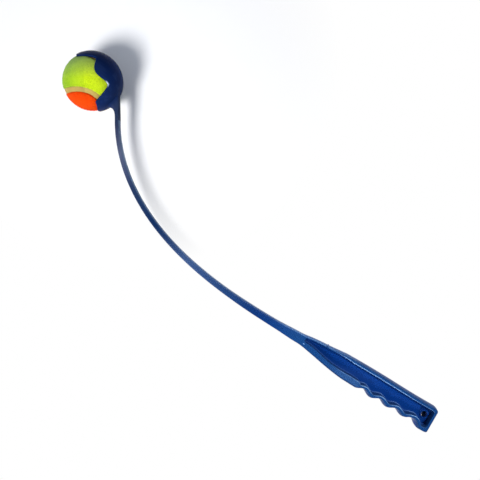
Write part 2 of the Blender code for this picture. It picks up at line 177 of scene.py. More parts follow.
class Skin:
    """Surface drawn out through outlines, each by extruding the last one's edge."""

    def __init__(self, outlines: Iterable[Sequence[RingPoint]], closed: bool = True) -> None:
        """Draw the surface.

        Args:
            outlines: Outlines in order, all with as many points.
            closed: Whether an outline's ends meet.
        """
        self.shape = bmesh.new()
        self.wear = self.shape.verts.layers.float.new(PAINTED_LIGHT_ATTRIBUTE)
        self.closed = closed
        first, *others = outlines
        self.first = self.row = [self.shape.verts.new(point.place) for point in first]
        for pair in self._pairs(self.row):
            self.shape.edges.new(pair)
        self._mark(first)
        for outline in others:
            self._draw_out(outline)

    def _pairs(self, row: list[BMVert]) -> list[tuple[BMVert, BMVert]]:
        """Pair each vertex of an outline with its follower."""
        return list(zip(row, row[1:] + row[:1] if self.closed else row[1:]))

    def _mark(self, outline: Sequence[RingPoint]) -> None:
        """Place the last outline's vertices and note their painted light."""
        for vertex, point in zip(self.row, outline):
            vertex.co = point.place
            vertex[self.wear] = point.wear

    def _draw_out(self, outline: Sequence[RingPoint]) -> None:
        """Extrude the last outline to the next one."""
        made = bmesh.ops.extrude_edge_only(self.shape, edges=self.edges(self.row))["geom"]
        fresh = {item for item in made if isinstance(item, BMVert)}
        following = []
        for vertex in self.row:
            ends = [edge.other_vert(vertex) for edge in vertex.link_edges]
            following.append(next(end for end in ends if end in fresh))
        self.row = following
        self._mark(outline)

    def edges(self, row: list[BMVert]) -> list[BMEdge]:
        """Edges along an outline."""
        return [self.shape.edges.get(pair) for pair in self._pairs(row)]

    def cap(self, first_peak: Vector | None = None, last_peak: Vector | None = None) -> None:
        """Close both ends, each with a flat face or with a fan up to its peak."""
        for row, peak in ((self.first, first_peak), (self.row, last_peak)):
            face = self.shape.faces.new(row)
            if peak is not None:
                bmesh.ops.poke(self.shape, faces=[face])["verts"][0].co = peak


def finish_piece(
    name: str, shape: bmesh.types.BMesh, crisp_angle: float = CRISP_ANGLE
) -> bpy.types.Object:
    """Turn a bmesh into a smooth, named object with its faces pointing out.

    Args:
        name: Name of the piece.
        shape: The mesh, which is freed.
        crisp_angle: Edges that bend more than this many degrees stay crisp.

    Returns:
        The new object.
    """
    bmesh.ops.recalc_face_normals(shape, faces=shape.faces)
    mesh = bpy.data.meshes.new(name)
    shape.to_mesh(mesh)
    shape.free()
    item = bpy.data.objects.new(name, mesh)
    bpy.context.scene.collection.objects.link(item)
    smooth(item, crisp_angle)
    return item


def smooth(item: bpy.types.Object, crisp_angle: float) -> None:
    """Shade a piece smooth, apart from edges that bend more than an angle in degrees."""
    item.data.shade_smooth()
    item.data.set_sharp_from_angle(angle=math.radians(crisp_angle))


def carve(item: bpy.types.Object, tool: bpy.types.Object, carving: Carving) -> None:
    """Join a tool shape to a piece, or cut it out, and throw the tool away.

    Args:
        item: The piece that is changed.
        tool: The closed shape that joins or cuts it.
        carving: What the tool does.
    """
    modifier = item.modifiers.new("carving", "BOOLEAN")
    modifier.operation = carving.value
    modifier.solver = "EXACT"
    modifier.object = tool
    graph = bpy.context.evaluated_depsgraph_get()
    carved = bpy.data.meshes.new_from_object(item.evaluated_get(graph))
    item.modifiers.clear()
    item.data = carved
    bpy.data.objects.remove(tool, do_unlink=True)


def hand_over(
    item: bpy.types.Object,
    body: Body,
    material: bpy.types.Material,
    nodes: Sequence[str] = (),
) -> None:
    """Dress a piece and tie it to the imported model.

    Args:
        item: The piece.
        body: Body that it rides on.
        material: Its finish.
        nodes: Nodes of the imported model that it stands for.
    """
    item.data.materials.clear()
    item.data.materials.append(material)
    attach(item, body.value)
    if nodes:
        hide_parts(*nodes)
    LOG.info("%s: %d faces", item.name, len(item.data.polygons))


class NodeSheet:
    """Nodes of one material or world, with short calls to add and join them."""

    def __init__(
        self, owner: bpy.types.Material | bpy.types.World, shader: str = "Principled BSDF"
    ) -> None:
        """Start from the plain shader of a material or a world."""
        owner.use_nodes = True
        self.owner = owner
        self.tree = owner.node_tree
        self.shader = self.tree.nodes[shader]

    def add(self, kind: str, inputs: dict | None = None, **settings) -> bpy.types.Node:
        """Add a node.

        Args:
            kind: Type of the node.
            inputs: Values or sockets for its inputs, by name or number.
            **settings: Properties of the node.

        Returns:
            The node.
        """
        node = self.tree.nodes.new(kind)
        for name, value in settings.items():
            setattr(node, name, value)
        for name, value in (inputs or {}).items():
            self.feed(node.inputs[name], value)
        return node

    def feed(self, target: bpy.types.NodeSocket, value) -> None:
        """Join a socket to an input, or set the input's own value."""
        if isinstance(value, bpy.types.NodeSocket):
            self.tree.links.new(value, target)
        else:
            target.default_value = value

    def finish(self, **inputs) -> bpy.types.Material | bpy.types.World:
        """Set the shader's inputs, named with _ for a space, and return their owner."""
        for name, value in inputs.items():
            self.feed(self.shader.inputs[name.replace("_", " ")], value)
        return self.owner

    def place(self, stretch: Vector | None = None) -> bpy.types.NodeSocket:
        """Object coordinates, scaled by a stretch on each axis."""
        source = self.add("ShaderNodeTexCoord").outputs["Object"]
        if stretch is None:
            return source
        return self.add("ShaderNodeMapping", {"Vector": source, "Scale": stretch}).outputs[0]

    def noise(
        self, scale: float, detail: float = 2.0, stretch: Vector | None = None
    ) -> bpy.types.NodeSocket:
        """Grey noise of a scale in features a metre."""
        inputs = {"Vector": self.place(stretch), "Scale": scale, "Detail": detail}
        return self.add("ShaderNodeTexNoise", inputs).outputs["Fac"]

    def span(
        self, value, low: float, high: float, to_low: float = 0.0, to_high: float = 1.0,
        curve: str = "LINEAR",
    ) -> bpy.types.NodeSocket:
        """Map a range of a value to another range, held at its ends."""
        inputs = {"Value": value, "From Min": low, "From Max": high,
                  "To Min": to_low, "To Max": to_high}
        node = self.add("ShaderNodeMapRange", inputs, interpolation_type=curve)
        return node.outputs["Result"]

    def mix(self, share, first, second, way: str = "MIX") -> bpy.types.NodeSocket:
        """Mix two colours by a share."""
        inputs = {0: share, 6: first, 7: second}
        return self.add("ShaderNodeMix", inputs, data_type="RGBA", blend_type=way).outputs[2]

    def math(self, way: str, first, second) -> bpy.types.NodeSocket:
        """Work out one number from two."""
        return self.add("ShaderNodeMath", {0: first, 1: second}, operation=way).outputs[0]

    def measure(self, way: str, other: Sequence[float]) -> bpy.types.NodeSocket:
        """Work out one number from the object coordinates and a vector."""
        inputs = {0: self.place(), 1: other}
        return self.add("ShaderNodeVectorMath", inputs, operation=way).outputs["Value"]

    def ramp(self, share, stops: Sequence[tuple[float, tuple]]) -> bpy.types.NodeSocket:
        """Read a colour ramp with stops of (place, colour)."""
        node = self.add("ShaderNodeValToRGB", {"Fac": share})
        elements = node.color_ramp.elements
        while len(elements) < len(stops):
            elements.new(1.0)
        for element, (spot, colour) in zip(elements, stops):
            element.position = spot
            element.color = (*colour, 1.0)
        return node.outputs["Color"]

    def bump(self, height, distance: float, strength: float, under=None) -> bpy.types.NodeSocket:
        """Raise the surface by a height, over another bump where there is one."""
        inputs = {"Height": height, "Distance": distance, "Strength": strength}
        if under is not None:
            inputs["Normal"] = under
        return self.add("ShaderNodeBump", inputs).outputs["Normal"]


@dataclass(frozen=True)
class MouldedPlastic:
    """Glossy injection-moulded plastic, royal blue at the grip and navy at the cup.

    Paler and darker bands along the arm are painted reflections, and a teal painted reflection
    shows on faces that stand off the middle plane. A pale spot at the recess's tip is a painted
    highlight, and the painted light attribute adds painted highlights on edges and painted shade
    in hollows.
    """

    name: str
    # Colour of the painted highlights.
    highlight_tint: Triple = (0.30, 0.55, 0.95)
    length: float = 0.57
    # Tones along X, blue at the grip and navy at the cup; the paler and darker bands along the arm
    # are painted reflections.
    tones_and_painted_reflections: tuple[tuple[float, Triple], ...] = (
        (0.00, (0.0032, 0.044, 0.256)),
        (0.30, (0.0030, 0.040, 0.235)),
        (0.34, (0.0026, 0.038, 0.205)),
        (0.40, (0.0018, 0.030, 0.165)),
        (0.49, (0.0130, 0.048, 0.160)),
        (0.545, (0.0280, 0.068, 0.190)),
        (0.60, (0.0440, 0.088, 0.215)),
        (0.645, (0.0180, 0.044, 0.130)),
        (0.69, (0.0040, 0.022, 0.085)),
        (0.76, (0.0160, 0.034, 0.095)),
        (0.795, (0.0500, 0.066, 0.135)),
        (0.82, (0.0800, 0.094, 0.160)),
        (0.84, (0.0450, 0.056, 0.110)),
        (0.862, (0.0100, 0.021, 0.062)),
        (0.90, (0.0060, 0.020, 0.092)),
        (1.00, (0.0060, 0.019, 0.090)),
    )
    # Teal painted reflection on the faces that stand off the middle plane, fading out past the
    # grip.
    flank_reflection_tint: Triple = (0.0090, 0.056, 0.200)
    flank_heights: Pair = (0.0030, 0.0062)
    flank_fade: Pair = (0.1860, 0.2400)
    # Place and size of a pale painted highlight at the recess's tip.
    tip_glint: Pair = (0.1752, -0.0026)
    tip_glint_radius: float = 0.0011
    # Colour of painted shade, where the painted light attribute is negative.
    painted_shade_tint: Triple = (0.0006, 0.0055, 0.033)
    roughness: float = 0.24
    specular: float = 0.10
    cloud_scale: float = 42.0
    cloud_edges: Span = (0.3, 0.7)
    cloud_depth: float = 0.09
    cloud_roughness: Span = (-0.03, 0.04)
    streak_stretch: Triple = (14.0, 150.0, 150.0)
    streak_edges: Span = (0.52, 0.72)
    streak_tint: Triple = (0.25, 0.42, 0.75)
    streak_strength: float = 0.02
    # Noise that breaks up the painted highlights, and how strong and rough they are.
    highlight_patch_scale: float = 320.0
    highlight_patch_edges: Span = (0.34, 0.62, 0.75, 1.0)
    highlight_strength: float = 0.85
    highlight_roughness: float = 0.08
    tip_glint_strength: float = 0.9
    scratch_stretch: Triple = (60.0, 1400.0, 1400.0)
    scratch_edges: Span = (0.68, 0.74)
    scratch_roughness: float = 0.10
    scratch_bump: Span = (-0.00004, 0.05)
    peel_scale: float = 900.0
    peel_bump: Span = (0.00010, 0.03)

    def build(self) -> bpy.types.Material:
        """Build the material."""
        sheet = NodeSheet(bpy.data.materials.new(self.name))
        place = sheet.add("ShaderNodeSeparateXYZ", {0: sheet.place()})
        along = place.outputs["X"]
        shade = sheet.ramp(sheet.span(along, 0.0, self.length), self.tones_and_painted_reflections)
        cloud = sheet.span(sheet.noise(self.cloud_scale, 3.0), *self.cloud_edges)
        streak = sheet.noise(1.0, 3.0, Vector(self.streak_stretch))
        darker = sheet.mix(self.cloud_depth, shade, (0.0, 0.0, 0.0, 1.0))
        paler = sheet.mix(self.streak_strength, shade, (*self.streak_tint, 1.0))
        colour = sheet.mix(cloud, darker, shade)
        colour = sheet.mix(sheet.span(streak, *self.streak_edges), colour, paler)
        height = sheet.math("ABSOLUTE", place.outputs["Z"], 0.0)
        # Painted reflection on the flanks.
        flank = sheet.math("MULTIPLY", sheet.span(height, *self.flank_heights),
                           sheet.span(along, *self.flank_fade, 1.0, 0.0))
        colour = sheet.mix(flank, colour, (*self.flank_reflection_tint, 1.0))
        wear = sheet.add("ShaderNodeAttribute", attribute_name=PAINTED_LIGHT_ATTRIBUTE).outputs["Fac"]
        # Painted shade where the painted light attribute is negative.
        painted_shade = sheet.span(wear, -1.0, 0.0, 1.0, 0.0)
        colour = sheet.mix(painted_shade, colour, (*self.painted_shade_tint, 1.0))
        # Painted highlight round a point at the recess's tip.
        near = sheet.math("ADD", *(
            sheet.math("POWER", sheet.math("SUBTRACT", place.outputs[way], middle), 2.0)
            for way, middle in zip("XY", self.tip_glint)))
        tip_glint = sheet.span(near, self.tip_glint_radius**2, 0.0, 0.0, self.tip_glint_strength)
        # Painted highlights where the painted light attribute is positive, broken up by noise.
        patch = sheet.span(sheet.noise(self.highlight_patch_scale, 3.0), *self.highlight_patch_edges)
        highlight = sheet.math("MULTIPLY", sheet.math("MAXIMUM", wear, tip_glint), patch)
        highlight_share = sheet.span(highlight, 0.0, 1.0, 0.0, self.highlight_strength)
        colour = sheet.mix(highlight_share, colour, (*self.highlight_tint, 1.0))
        scratch = sheet.span(sheet.noise(1.0, 2.0, Vector(self.scratch_stretch)),
                             *self.scratch_edges)
        smoother, rougher = self.cloud_roughness
        rough = sheet.span(cloud, 0.0, 1.0, self.roughness + smoother, self.roughness + rougher)
        rough = sheet.math("ADD", rough, sheet.span(scratch, 0.0, 1.0, 0.0, self.scratch_roughness))
        rough = sheet.math("ADD", rough, sheet.span(highlight, 0.0, 1.0, 0.0, self.highlight_roughness))
        peel = sheet.bump(sheet.noise(self.peel_scale, 2.0), *self.peel_bump)
        return sheet.finish(
            Base_Color=colour,
            Roughness=rough,
            Normal=sheet.bump(scratch, *self.scratch_bump, peel),
            Specular_IOR_Level=self.specular,
        )


@dataclass(frozen=True)
class CoreJoin:
    """Flat join of the ball's core, by the place and direction of its plane."""

    place: Vector
    across: Vector
    along: Vector
    half_width: float = 0.0005

    def distance(self, sheet: NodeSheet, way: Vector) -> bpy.types.NodeSocket:
        """Signed distance of a point from the join's place, in a direction."""
        return sheet.math("SUBTRACT", sheet.measure("DOT_PRODUCT", way), self.place.dot(way))

    def join_line(self, sheet: NodeSheet, side: bpy.types.NodeSocket) -> bpy.types.NodeSocket:
        """Strength of the thin dark line along the join at a signed distance."""
        away = sheet.math("ABSOLUTE", side, 0.0)
        return sheet.span(away, 0.0, self.half_width, 1.0, 0.0)


@dataclass(frozen=True)
class Felt:
    """Woollen ball felt, mottled tuft by tuft, with a soft sheen.

    A thin dark line runs along the plane of the core's join. The felt is painted darker on one side
    of the join and towards the top, as painted shade.
    """

    name: str
    deep: Triple
    middle: Triple
    pale: Triple
    # Colours of painted shade: the felt is drawn towards the first at the top and multiplied by the
    # second on one side of the join.
    top_shade_colour: Triple
    shaded: Triple
    sheen_tint: Triple
    join: CoreJoin
    tuft_scale: float = 420.0
    tuft_share: float = 0.25
    tuft_bump: Span = (0.0004, 0.4)
    fibre_scale: float = 1500.0
    fibre_share: float = 0.5
    fibre_bump: Span = (0.0003, 0.6)
    patch_scale: float = 60.0
    patch_share: float = 0.25
    tone_stops: Span = (0.36, 0.50, 0.64)
    # Painted shade: a step at the join that fades towards the top, a gradient across the ball, and
    # a darkening towards the top.
    join_fade: Span = (0.000, 0.012, 1.0, 0.0)
    join_step: Span = (0.0, 0.0003, 0.15, -0.15)
    shade_edges: Span = (-0.016, 0.006, 0.85, 0.15)
    top_shade_edges: Span = (-0.003, 0.026, 0.0, 0.84)
    join_line_depth: float = 0.55
    roughness: float = 0.95
    specular: float = 0.05
    sheen: float = 0.14
    sheen_roughness: float = 0.6

    def build(self) -> bpy.types.Material:
        """Build the material."""
        sheet = NodeSheet(bpy.data.materials.new(self.name))
        tuft = sheet.noise(self.tuft_scale, 3.0)
        fibre = sheet.noise(self.fibre_scale, 3.0)
        patch = sheet.noise(self.patch_scale, 2.0)
        mottle = sheet.math("ADD", sheet.math("MULTIPLY", tuft, self.tuft_share),
                            sheet.math("MULTIPLY", fibre, self.fibre_share))
        mottle = sheet.math("ADD", mottle, sheet.math("MULTIPLY", patch, self.patch_share))
        tones = (self.deep, self.middle, self.pale)
        colour = sheet.ramp(mottle, tuple(zip(self.tone_stops, tones)))
        side = self.join.distance(sheet, self.join.across)
        height = self.join.distance(sheet, self.join.along)
        fading = sheet.span(height, *self.join_fade)
        # Painted shade, darker on one side of the join.
        shade = sheet.span(side, *self.shade_edges)
        step = sheet.math("MULTIPLY", sheet.span(side, *self.join_step), fading)
        shade = sheet.math("ADD", shade, step)
        colour = sheet.mix(shade, colour, (*self.shaded, 1.0), "MULTIPLY")
        # Painted shade towards the top.
        top_shade = sheet.span(height, *self.top_shade_edges)
        colour = sheet.mix(top_shade, colour, (*self.top_shade_colour, 1.0))
        join_line = sheet.math("MULTIPLY", self.join.join_line(sheet, side), fading)
        join_line = sheet.math("MULTIPLY", join_line, self.join_line_depth)
        colour = sheet.mix(join_line, colour, (*self.deep, 1.0))
        return sheet.finish(
            Base_Color=colour,
            Roughness=self.roughness,
            Normal=sheet.bump(fibre, *self.fibre_bump, sheet.bump(tuft, *self.tuft_bump)),
            Specular_IOR_Level=self.specular,
            Sheen_Weight=self.sheen,
            Sheen_Roughness=self.sheen_roughness,
            Sheen_Tint=(*self.sheen_tint, 1.0),
        )


@dataclass(frozen=True)
class Rubber:
    """Matt rubber with grain and small stains, and painted shade on one side of the join where one
    is given.
    """

    name: str
    base: Triple
    stain_and_shade: Triple
    join: CoreJoin | None = None
    # Painted shade on one side of the join.
    join_shade: Span = (-0.0004, 0.0004, 0.5, 0.0)
    stain_scale: float = 110.0
    stain_edges: Span = (0.36, 0.66, 0.0, 0.5)
    roughness: float = 0.75
    roughness_change: float = 0.08
    grain_scale: float = 1500.0
    grain_bump: Span = (0.00015, 0.35)

    def build(self) -> bpy.types.Material:
        """Build the material."""
        sheet = NodeSheet(bpy.data.materials.new(self.name))
        patch = sheet.span(sheet.noise(self.stain_scale, 4.0), *self.stain_edges)
        # Painted shade: the stain colour is laid on one side of the join.
        if self.join is not None:
            side = self.join.distance(sheet, self.join.across)
            patch = sheet.math("ADD", patch, sheet.span(side, *self.join_shade))
        colour = sheet.mix(patch, (*self.base, 1.0), (*self.stain_and_shade, 1.0))
        rough = sheet.span(patch, 0.0, 1.0, self.roughness - self.roughness_change,
                           self.roughness + self.roughness_change)
        normal = sheet.bump(sheet.noise(self.grain_scale, 3.0), *self.grain_bump)
        return sheet.finish(Base_Color=colour, Roughness=rough, Normal=normal)


@dataclass(frozen=True)
class StudioFloor:
    """White paper floor that shows pure white, save round the cup, where it keeps the shadow."""

    name: str = "white_paper_floor"
    colour: Triple = (0.86, 0.86, 0.87)
    shadow_place: Triple = (0.520, -0.190, -0.032)
    shadow_reach: Pair = (0.06, 0.25)
    shadow_lift: float = 0.06
    hole_place: Triple = (0.0088, -0.0012, -0.0131)
    hole_reach: Span = (0.006, 0.007)
    grain_scale: float = 30.0
    grain_edges: Span = (0.3, 0.7)
    grain_lift: float = 0.01
    roughness: float = 0.9

    def build(self) -> bpy.types.Material:
        """Build the material."""
        sheet = NodeSheet(bpy.data.materials.new(self.name))
        path = sheet.add("ShaderNodeLightPath")
        seen = sheet.math("ADD", path.outputs["Is Camera Ray"], path.outputs["Is Glossy Ray"])
        seen = sheet.math("ADD", seen, path.outputs["Is Transmission Ray"])
        seen = sheet.math("MINIMUM", seen, 1.0)
        white = sheet.span(sheet.measure("DISTANCE", self.shadow_place), *self.shadow_reach,
                           self.shadow_lift, 1.0)
        under_hole = sheet.span(sheet.measure("DISTANCE", self.hole_place), *self.hole_reach)
        white = sheet.math("MULTIPLY", sheet.math("MULTIPLY", white, under_hole), seen)
        grain = sheet.span(sheet.noise(self.grain_scale, 3.0), *self.grain_edges)
        paler = (tone + self.grain_lift for tone in self.colour)
        paper = sheet.mix(grain, (*self.colour, 1.0), (*paler, 1.0))
        return sheet.finish(
            Base_Color=sheet.mix(white, paper, (0.0, 0.0, 0.0, 1.0)),
            Roughness=self.roughness,
            Specular_IOR_Level=0.0,
            Emission_Color=(1.0, 1.0, 1.0, 1.0),
            Emission_Strength=white,
        )


@dataclass(frozen=True)
class SideShape:
    """Bowed side of a moulded bar, from its crest over a rounded edge to its flat top."""

    side_steps: int = 7
    edge_steps: int = 8

    def points(
        self, half_depth: float, edge_radius: float, lean: float, side_wear: float,
        edge_wear: float, top_wear: float = 0.0,
    ) -> list[SectionPoint]:
        """List the side's points.

        Args:
            half_depth: Height of the top over the crest.
            edge_radius: Radius of the rounded edge.
            lean: How far the bowed side has turned in where the edge starts.
            side_wear: Painted light of the bowed side.
            edge_wear: Painted light half way round the edge.
            top_wear: Painted light where the flat top starts.

        Returns:
            Points whose side value is the inset from the crest.
        """
        bow = (half_depth - edge_radius * (1 - math.sin(lean))) / math.sin(lean)
        points = []
        for step in range(self.side_steps):
            angle = lean * step / self.side_steps
            inset = bow * (1 - math.cos(angle))
            points.append(SectionPoint(inset, bow * math.sin(angle), side_wear))
        for step in range(self.edge_steps + 1):
            share = step / self.edge_steps
            angle = blend(lean, math.pi / 2, share)
            inset = bow * (1 - math.cos(lean)) + edge_radius * (math.cos(lean) - math.cos(angle))
            height = bow * math.sin(lean) + edge_radius * (math.sin(angle) - math.sin(lean))
            middle = math.sin(math.pi * share)
            wear = blend(blend(side_wear, top_wear, ease(share)), edge_wear, middle)
            points.append(SectionPoint(inset, height, wear))
        return points


def whole_ring(upper: list[SectionPoint]) -> list[SectionPoint]:
    """Mirror the upper half of a section to get its closed ring."""
    lower = [point._replace(height=-point.height) for point in reversed(upper[1:-1])]
    return upper + lower


class RecessPaintedLight(NamedTuple):
    """Painted light of one side of the recess: along its edge, at its foot, on its wall and on top.
    """

    line: float
    foot: float
    wall: float
    top: float


@dataclass(frozen=True)
class Grip:
    """I-section grip with finger grooves, a recess on each side and a ringed hang hole."""

    length: float = 0.1820
    back: float = 0.0170
    front: float = 0.0172
    half_depth: float = 0.0130
    edge_radius: float = 0.0012
    side_lean: float = math.radians(17)
    butt_back_corner: float = 0.0030
    butt_front_corner: float = 0.0022
    butt_edge_round: float = 0.0016
    root_half_thickness: float = 0.0065
    root_half_depth: float = 0.0065
    root_edge_radius: float = 0.0013
    root_lean: float = math.radians(10)
    root_centre: float = 0.0056
    finger_pitch: float = 0.0218
    finger_depth: float = 0.0041
    finger_first: float = 0.0221
    finger_count: int = 4
    groove_fullness: float = 0.75
    web_thickness: float = 0.0030
    flange_wall: float = 0.0021
    end_wall: float = 0.0030
    end_wall_round: float = 0.0006
    end_wall_draft: float = 0.0004
    tip_slope: float = 0.0040
    recess_draft: float = 0.0004
    recess_fillet: float = 0.0028
    finger_fillet: float = 0.0015
    finger_draft: float = 0.0005
    finger_rim_slack: float = 0.0008
    finger_rim_track: Track = Track((
        (0.0, 0.0009), (0.515, 0.0009), (0.545, 0.0045), (0.60, 0.0046), (0.65, 0.0041),
        (0.71, 0.0034), (0.776, 0.0031), (0.84, 0.0037), (0.90, 0.0040), (0.97, 0.0030),
        (1.0, 0.0030),
    ))
    back_rim_track: Track = Track(((0.0, 0.0), (0.62, 0.0), (0.74, -0.0013), (1.0, -0.0013)))
    # Painted highlight along the back rim's inner edge.
    back_line_track: Track = Track((
        (0.0, 0.30), (0.12, 0.45), (0.28, 1.0), (0.66, 1.0), (0.72, 0.40), (0.78, 0.0), (1.0, 0.0),
    ))
    # Painted highlight along the finger rim.
    finger_line_track: Track = Track((
        (0.0, 1.0), (0.51, 1.0), (0.54, 0.50), (0.66, 0.40), (0.74, 0.0), (1.0, 0.0),
    ))
    # Painted reflection on the back side.
    back_side_track: Track = Track((
        (0.0, 0.04), (0.56, 0.04), (0.62, 0.16), (0.70, 0.26), (0.82, 0.32), (1.0, 0.34),
    ))
    # Painted highlight on the back edge, with a small dip to painted shade near the gate mark.
    back_edge_track: Track = Track((
        (0.0, 0.0), (0.62, 0.0), (0.74, 0.10), (0.81, 0.38), (0.818, -0.2), (0.826, -0.2),
        (0.834, 0.42), (0.93, 0.50), (1.0, 0.50),
    ))
    # Painted shade on the finger side's edge.
    finger_edge_track: Track = Track(((0.0, 0.0), (0.50, 0.0), (0.56, -0.50), (1.0, -0.30)))
    # Painted reflection on the finger-side top along the taper.
    finger_top_track: Track = Track((
        (0.0, 0.0), (0.515, 0.0), (0.55, 0.08), (0.66, 0.07), (0.76, 0.02), (0.86, 0.0), (1.0, 0.0),
    ))
    # Painted light of the recess: faint painted light on the finger wall and side, painted shade on
    # the back wall, at the butt and towards the tip, and painted highlights at the feet of the
    # finger grooves.
    finger_wall_wear: float = 0.09
    finger_side_wear: float = 0.03
    hollow_shade: float = 0.40
    end_shade: float = 0.85
    end_shade_place: float = 0.0130
    end_shade_slant: float = 0.63
    end_shade_fade: float = 0.0030
    tip_shade: float = 0.22
    tip_shade_start: float = 0.57
    tip_shade_fade: float = 0.30
    lobe_line: float = 0.12
    lobe_end_share: float = 0.53
    wear_rise: float = 8.0
    foot_wear: float = 0.60
    recess_edge_round: float = 0.0010
    recess_corner: float = 0.0035
    recess_length_share: float = 0.97
    tip_round_share: float = 0.7
    hole_radius: float = 0.0038
    hole_place: float = 0.0088
    hole_side: float = 0.0012
    ring_radius: float = 0.0052
    ring_height: float = 0.0015
    ring_round: float = 0.00045
    ring_foot: float = 0.0007
    ring_sink: float = 0.00004
    ring_segments: int = 56
    gate_radius: float = 0.0008
    gate_height: float = 0.0007
    gate_depth: float = 0.0021
    gate_flare: float = 1.3
    gate_bevel_share: float = 0.25
    gate_place: float = 0.1478
    gate_segments: int = 20
    draft_room: float = 0.4
    fillet_room: float = 0.7
    wall_mark: float = 0.2
    section_spacing: float = 0.0010
    least_spacing: float = 0.00003
    crisp_angle: float = 38.0
    corner_steps: int = 8
    rim_steps: int = 8
    fillet_steps: int = 6
    round_steps: int = 4
    side_shape: SideShape = SideShape()
    back_track: Track = Track((
        (0.0, 0.31), (0.12, 0.30), (0.27, 0.15), (0.39, 0.00), (0.50, -0.08), (0.60, -0.10),
        (0.66, -0.10), (0.71, 0.05), (0.785, 0.31), (0.855, 0.46), (0.91, 0.64), (1.0, 1.0),
    ))
    front_track: Track = Track((
        (0.0, 0.0), (0.042, 0.0), (0.054, 0.04), (0.064, 0.12), (0.074, 0.21), (0.084, 0.25),
        (0.11, 0.235), (0.122, 0.19), (0.135, 0.18), (0.148, 0.20), (0.165, 0.19),
        (0.178, 0.20), (0.27, 0.205), (0.36, 0.225),
        (0.43, 0.225), (0.49, 0.28), (0.585, 0.325), (0.635, 0.35), (0.71, 0.45), (0.79, 0.60),
        (0.855, 0.745), (0.905, 0.85), (0.955, 0.95), (1.0, 1.0),
    ))
    blend_track: Track = Track(((0.0, 0.0), (0.53, 0.0), (0.77, 0.45), (0.925, 0.9), (1.0, 1.0)))

    def back_edge(self, place: float) -> float:
        """Distance of the back edge from the axis."""
        root = self.root_half_thickness + self.root_centre
        edge = blend(self.back, root, self.back_track.at(place / self.length))
        return edge - corner_inset(place, self.butt_back_corner)

    def front_edge(self, place: float) -> float:
        """Distance of the finger side from the axis, with its grooves."""
        root = self.root_half_thickness - self.root_centre
        edge = blend(self.front, root, self.front_track.at(place / self.length))
        edge -= self.finger_depth * self.groove_share(place)
        return edge - corner_inset(place, self.butt_front_corner)

    def groove_share(self, place: float) -> float:
        """Share of its full depth that a finger groove has at a place."""
        turn = (place - self.finger_first) / self.finger_pitch
        if not -0.5 < turn < self.finger_count - 0.5:
            return 0.0
        return ((1 + math.cos(2 * math.pi * turn)) / 2) ** self.groove_fullness

    @property
    def tip(self) -> float:
        """Place where the recess ends."""
        return self.length * self.recess_length_share

    def end_wall_profile(self) -> list[Pair]:
        """Depth of the recess behind its end wall, as (distance, depth) points."""
        depth = self.half_depth - self.web_thickness / 2
        top, fillet = self.end_wall_round, self.recess_fillet
        rim = [(top * math.sin(angle), top * (1 - math.cos(angle)))
               for angle in quarter(self.round_steps)]
        return rim + [(top + self.end_wall_draft + fillet * (1 - math.cos(angle)),
                       depth - fillet + fillet * math.sin(angle))
                      for angle in quarter(self.fillet_steps)]

    def depth_share(self, place: float) -> float:
        """Share of its full depth that the recess has at a place."""
        if place <= self.end_wall or place >= self.tip:
            return 0.0
        points = self.end_wall_profile()
        distances = [point[0] for point in points]
        depths = [point[1] for point in points]
        into = float(np.interp(place - self.end_wall, distances, depths)) / depths[-1]
        return min(into, ease((self.tip - place) / self.tip_slope))

    def recess_profile(
        self, half_depth: float, opening: float, draft: float, fillet: float, wear: RecessPaintedLight
    ) -> list[SectionPoint]:
        """Inner half of the section, from the rim down to the web.

        Args:
            half_depth: Height of the rim.
            opening: Half of the recess's width at the rim.
            draft: How far the wall leans in, where there is room.
            fillet: Radius at the wall's foot, where there is room.
            wear: Painted light of its edge, wall and foot.

        Returns:
            Points whose side value is the inset from the recess's edge.
        """
        draft = min(draft, opening * self.draft_room)
        fillet = min(fillet, (opening - draft) * self.fillet_room)
        low = self.web_thickness / 2
        round_off = self.recess_edge_round
        points = []
        for step in range(self.rim_steps + 1):
            share = step / self.rim_steps
            inset = round_off * (math.sin(math.pi / 2 * share) - 1)
            height = half_depth - round_off * (1 - math.cos(math.pi / 2 * share))
            painted = blend(blend(wear.top, wear.wall, share), wear.line,
                           math.sqrt(math.sin(math.pi * share)))
            points.append(SectionPoint(inset, height, painted))
        height = blend(height, low + fillet, self.wall_mark)
        points.append(SectionPoint(draft * self.wall_mark, height, wear.wall))
        for step, angle in enumerate(quarter(self.fillet_steps)):
            inset = draft + fillet * (1 - math.cos(angle))
            off_middle = abs(step - self.fillet_steps / 2)
            painted = blend(wear.wall, wear.foot, ease(1 - off_middle / 2))
            points.append(SectionPoint(inset, low + fillet * (1 - math.sin(angle)), painted))
        return points

    def recess_wear(self, share: float, finger_side: bool) -> RecessPaintedLight:
        """Painted light of one side of the recess at a share of the grip's length: painted shade on
        the back, painted highlights on the finger side.
        """
        if not finger_side:
            dark = -self.hollow_shade
            return RecessPaintedLight(self.back_line_track.at(share), dark, dark, 0.0)
        groove = self.groove_share(share * self.length)
        line = self.finger_line_track.at(share)
        if share <= self.lobe_end_share:
            line *= blend(self.lobe_line, 1.0, groove)
        foot = blend(self.finger_wall_wear, self.foot_wear, groove)
        return RecessPaintedLight(line, foot, self.finger_wall_wear, self.finger_top_track.at(share))

    def web_wear(self, place: float, side: float) -> float:
        """Painted shade of the web, dark at the butt and a little towards the recess's tip."""
        end = self.end_shade_place - self.end_shade_slant * side - place
        painted_shade = self.end_shade * ease(end / self.end_shade_fade)
        towards_tip = place / self.length - self.tip_shade_start
        painted_shade += self.tip_shade * ease(towards_tip / self.tip_shade_fade)
        return -painted_shade

